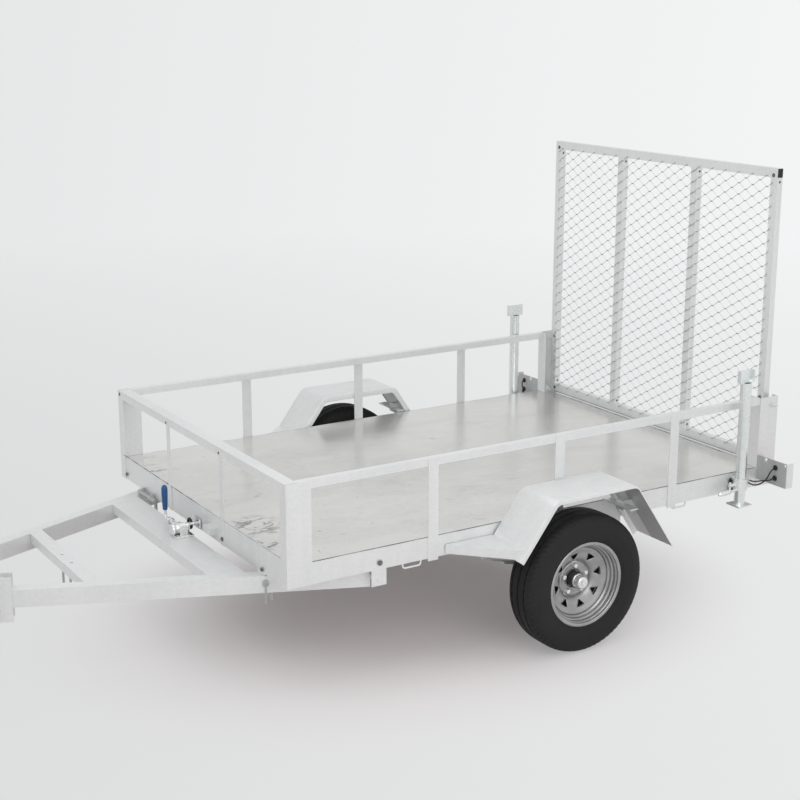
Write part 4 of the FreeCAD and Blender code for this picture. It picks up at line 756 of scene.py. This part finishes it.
def lead(name, side, route):
    """A thin round lead on a smooth spline through its route, out of the lamp bracket and down to the sill."""
    curve = bpy.data.curves.new(name, "CURVE")
    curve.dimensions = "3D"
    curve.bevel_depth, curve.bevel_resolution = 0.003, 4
    curve.use_fill_caps = True
    spline = curve.splines.new("NURBS")
    spline.points.add(len(route) - 1)
    places = [at(PLATE_X + along, side * out, LEAD_Z + up) for along, out, up in route]
    for point, place in zip(spline.points, places):
        point.co = (*place, 1)
    spline.order_u = 3
    spline.use_endpoint_u = True
    spline.resolution_u = 12
    curve.materials.append(FINISH["rubber_black"])
    cord = bpy.data.objects.new(name, curve)
    bpy.context.scene.collection.objects.link(cord)
    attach(cord, "bed")
    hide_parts("lamp_leads")


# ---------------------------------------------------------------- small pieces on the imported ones
X, Y, Z = np.eye(3)
SIDES = ((1, "left"), (-1, "right"))


def lamp_bracket(side, name):
    """Softened plate and flanges of the lamp bracket, the grommets that the leads come out of, and its bolts."""
    # painted shade: the plate wears the darker zinc, its flanges the paler zinc of the frame
    assembled(f"lamp_plate_{name}", [tile(at(-1114.5, side * 900.5, 542.5), Y, Z, (89.5, 55.5), 3.0, 5, 0.8)],
              "bed", "galvanised", stands_for=("lamp_brackets",), finish=FINISH["zinc_dull_and_painted_shade"])
    assembled(f"lamp_flange_{name}", [tile(at(-1134.6, side * out, 542.5), X, Z, (20.4, 55.5), 3.0, 4, 0.8)
                                      for out in (988.4, 812.8)], "bed", "galvanised")
    grommet = [(-2, 5), (-2, 11.5), (1, 12.4), (3.4, 11.8), (4.6, 9.6), (4.6, 5.4), (3, 3.4), (0, 3.2)]
    for number, lead_name in ((1, "upper"), (2, "lower")):
        along, out, up = LEADS[lead_name][0][0]
        turned(f"lamp_grommet_{name}_{number}", grommet, at(PLATE_X + along, side * out, LEAD_Z + up), X, "bed",
               "rubber_black", 32)
    fasteners(f"lamp_bolts_{name}", [(at(PLATE_X, side * 866, 588), X, 10, 5), (at(PLATE_X, side * 981, 588), X, 7, 4)],
              "bed", "galvanised", FINISH["zinc_bright"])


def leg_clamp(side, name):
    """The drop leg's clamp screw, whose thin shank swells into a pear-shaped handle, and the bolts of its collar."""
    start_at, handle_at, end_at = at(-956, side * 852, 472), at(-930, side * 852, 471), at(-856, side * 852, 466)
    swell = np.array([4, 8.8, 9.8, 10, 10.4, 10.6, 10.8, 11, 11, 11, 9.8, 4]) * MM
    assembled(f"leg_clamp_screw_{name}", [swept(np.linspace(start_at, handle_at, 6), 6 * MM, Z),
                                          swept(np.linspace(handle_at, end_at, len(swell)), swell, Z)],
              "bed", "galvanised", finish=FINISH["zinc_bright"])
    fasteners(f"leg_clamp_bolts_{name}", [(at(-968, side * 811, up), side * Y, 17, 9) for up in (500, 470)],
              "bed", "hub_dark")


def tilt_pin_grip(side, name):
    """A tilt pin's hanging grip, with the open ring of its spring clip round the pin's head."""
    pin = at(1165, side * 566, 403)
    turn = np.linspace(0, 1.9 * math.pi, 22)
    ring = np.stack([9 * np.cos(turn), 0 * turn, 6 + 9 * np.sin(turn)], 1)
    assembled(f"tilt_pin_grip_{name}", [swept(np.linspace(pin + 2 * MM * Z, pin - 86 * MM * Z, 10), 7.5 * MM, Y),
                                        swept(pin + MM * ring, 2.2 * MM, Y)],
              "drawbar", "galvanised", finish=FINISH["zinc_dull_and_painted_shade"])


def box_bolts():
    """Dark bolts through the front beam and rail, the rear posts, the side sills and the ramp's corners and hinges,
    and the strip at the ramp's foot."""
    # (across, up, width over flats, height) on the front beam and the front rail
    front = [(255, 476, 10, 6), (-750, 474, 9, 5), (602, 462, 9, 5), (-792, 837, 8, 3), (-272, 829, 6, 3),
             (245, 829, 6, 3)]
    dark = FINISH["bolt_grey"]
    fasteners("front_bolts", [(at(1223, across, up), X, flats, height) for across, up, flats, height in front],
              "bed", "galvanised", dark)
    assembled("ramp_foot_strip", [tile(at(-1186, 0, 539.8), Y, Z, (760, 5.4), 3.0, 2, 0.8)], "ramp", "galvanised",
              finish=FINISH["zinc_dull_and_painted_shade"])
    fasteners("rear_post_bolts", [(at(-1187, side * 811, 813), side * Y, 9, 4) for side in (1, -1)],
              "bed", "galvanised", dark)
    fasteners("sill_bolts", [(at(827, side * 811, 477), side * Y, 11, 6) for side in (1, -1)],
              "bed", "galvanised", dark)
    fasteners("ramp_bolts", [(at(-1171, side * out, up), X, 9, 4)
                             for out, up in ((747, 838), (735, 563), (748, 1816)) for side in (-1, 1)],
              "ramp", "galvanised", dark)


def seam(start_at, end_at, width, steps=160):
    """A thin dark bead, painted shadow in a joint: its half width swells and shrinks along it as a sum of three sines.
    """
    share = np.linspace(0, 1, steps)
    swell = 1 + 0.35 * np.sin(share * 41) + 0.25 * np.sin(share * 97 + 1) + 0.2 * np.sin(share * 173 + 2)
    line = start_at + share[:, None] * (end_at - start_at)
    return swept(line, np.maximum(width * swell, 0.3) * MM, Z, 8, 0.6)


# painted shadow: dark beads in the joints round the deck and on the front posts, as (start, end, half width in mm)
SEAM_SHADOWS = [((1221.6, -780, 558), (1221.6, -20, 558), 1.5), ((1221.6, -20, 558), (1221.6, 790, 558), 0.7),
         ((1205, 806.2, 538.2), (-1100, 806.2, 538.2), 1.1), ((1205, -806.2, 538.2), (-1100, -806.2, 538.2), 1.1),
         ((-1150.6, -570, 538.6), (-1150.6, 560, 538.6), 1.6), ((1221, 807, 852.6), (1176, 807, 852.6), 1.0),
         ((1221, -807, 852.6), (1176, -807, 852.6), 1.0)]
# turned profiles of the tilt latch and of the pin ahead of the front beam, as (along, radius) in mm
BARREL = [(-36, 0), (-36, 15), (-34, 17), (-20, 17), (-19, 20), (-17, 22), (10, 22), (12, 20), (14, 19), (26, 19),
          (27, 22), (30, 23.6), (38, 23.6), (41, 22), (42, 19), (42, 0)]
CROSS_PIN = [(0, 0), (0, 8), (2, 9), (22, 9), (23, 14), (25, 16), (34, 16), (36, 14), (37, 9), (84, 9), (85, 15),
             (94, 15), (95, 9), (150, 9), (151, 14), (160, 14), (161, 8), (168, 7), (168, 0)]
GRIP = [(-4, 0), (-4, 6), (-2, 9), (4, 10.4), (40, 12), (70, 13), (86, 13), (95, 11.6), (101, 8.4), (104, 4),
        (104.5, 0)]
SEAL = [(-4, 15), (-4, 21), (-2, 24), (3, 24), (5, 21), (5, 15)]
HOOP_PIN = [(0, 0), (0, 8), (2, 10.5), (10, 11), (12, 13), (24, 13), (26, 10), (120, 10), (122, 13.5), (140, 13.5),
            (142, 11), (160, 10.6), (166, 8), (168, 0)]


def tilt_latch():
    """Cast latch with base plate, turned barrel, two cheeks, cross pin with collars, crank arm and dipped grip, and on
    the bed the barrel's dark seal and the striker that the latch closes on."""
    arm = rounded([at(1300, -90, 468), at(1300, -131, 468), at(1300, -131, 512)], (12 * MM,), 8)
    bright = FINISH["zinc_bright"]
    assembled("tilt_latch_cast", [tile(at(1298, 24, 441.5), X, Y, (38, 46), 7, 8, 1.2),
                                  spindle(BARREL, at(1300, 22, 466), X, 40),
                                  tile(at(1300, -10, 458), X, Z, (17, 26), 6, 8, 1.2),
                                  tile(at(1300, 56, 458), X, Z, (17, 26), 6, 8, 1.2),
                                  spindle(CROSS_PIN, at(1300, -106, 468), Y, 28), swept(arm, 6.2 * MM, X, 16)],
              "drawbar", "galvanised", stands_for=("tilt_latch",), finish=bright, sharp=30)
    assembled("tilt_grip_dipped", [spindle(GRIP, at(1300, -131, 503), Z, 40)], "drawbar", "grip_blue",
              stands_for=("tilt_latch_grip",))
    turned("tilt_latch_seal", SEAL, at(1252, 10, 474), X, "bed", "rubber_black", 40)
    loop = rounded([at(1230, -12, 470), at(1262, -12, 470), at(1262, 44, 484), at(1230, 44, 484)],
                   (10 * MM, 10 * MM), 8)
    assembled("latch_striker", [tile(at(1226, 16, 476), Y, Z, (38, 20), 8, 8, 1.5), swept(loop, 5.2 * MM, Z)],
              "bed", "galvanised", finish=bright)


camera()
studio()
dress_nodes()
for side, name in SIDES:
    for lead_name, (route, length) in LEADS.items():
        lead(f"lamp_lead_{lead_name}_{name}", side, route)
ramp_mesh()
for side, name in SIDES:
    tyre(side, f"wheel_{name}")
    wheel(side, f"wheel_{name}")
for side, name in SIDES:
    mudguard(side, f"mudguard_{name}")
    lamp_bracket(side, name)
    leg_clamp(side, name)
    fasteners(f"stay_bolts_{name}", [(at(along, side * 900, 548), Z, 12, 6) for along in (-289, -310)],
              "bed", "galvanised", FINISH["zinc_bright"])
    assembled(f"ramp_plug_{name}", [tile(at(-1186, side * 772.6, 1826), X, Z, (14, 19), 3.0, 3, 0.8)],
              "ramp", "rubber_black")
    tilt_pin_grip(side, name)
box_bolts()
assembled("deck_seam_shadows", [seam(at(*start_at), at(*end_at), width) for start_at, end_at, width in SEAM_SHADOWS],
          "bed", "galvanised", finish=FINISH["shadow_gap"])
tilt_latch()
assembled("hoop_pin", [spindle(HOOP_PIN, at(1236, -570, 447), Y, 28)]
          + [tile(at(1230, across, 456), X, Z, (8, 14), 8, 4, 1) for across in (-538, -436)],
          "bed", "galvanised", finish=FINISH["zinc_dull_and_painted_shade"])
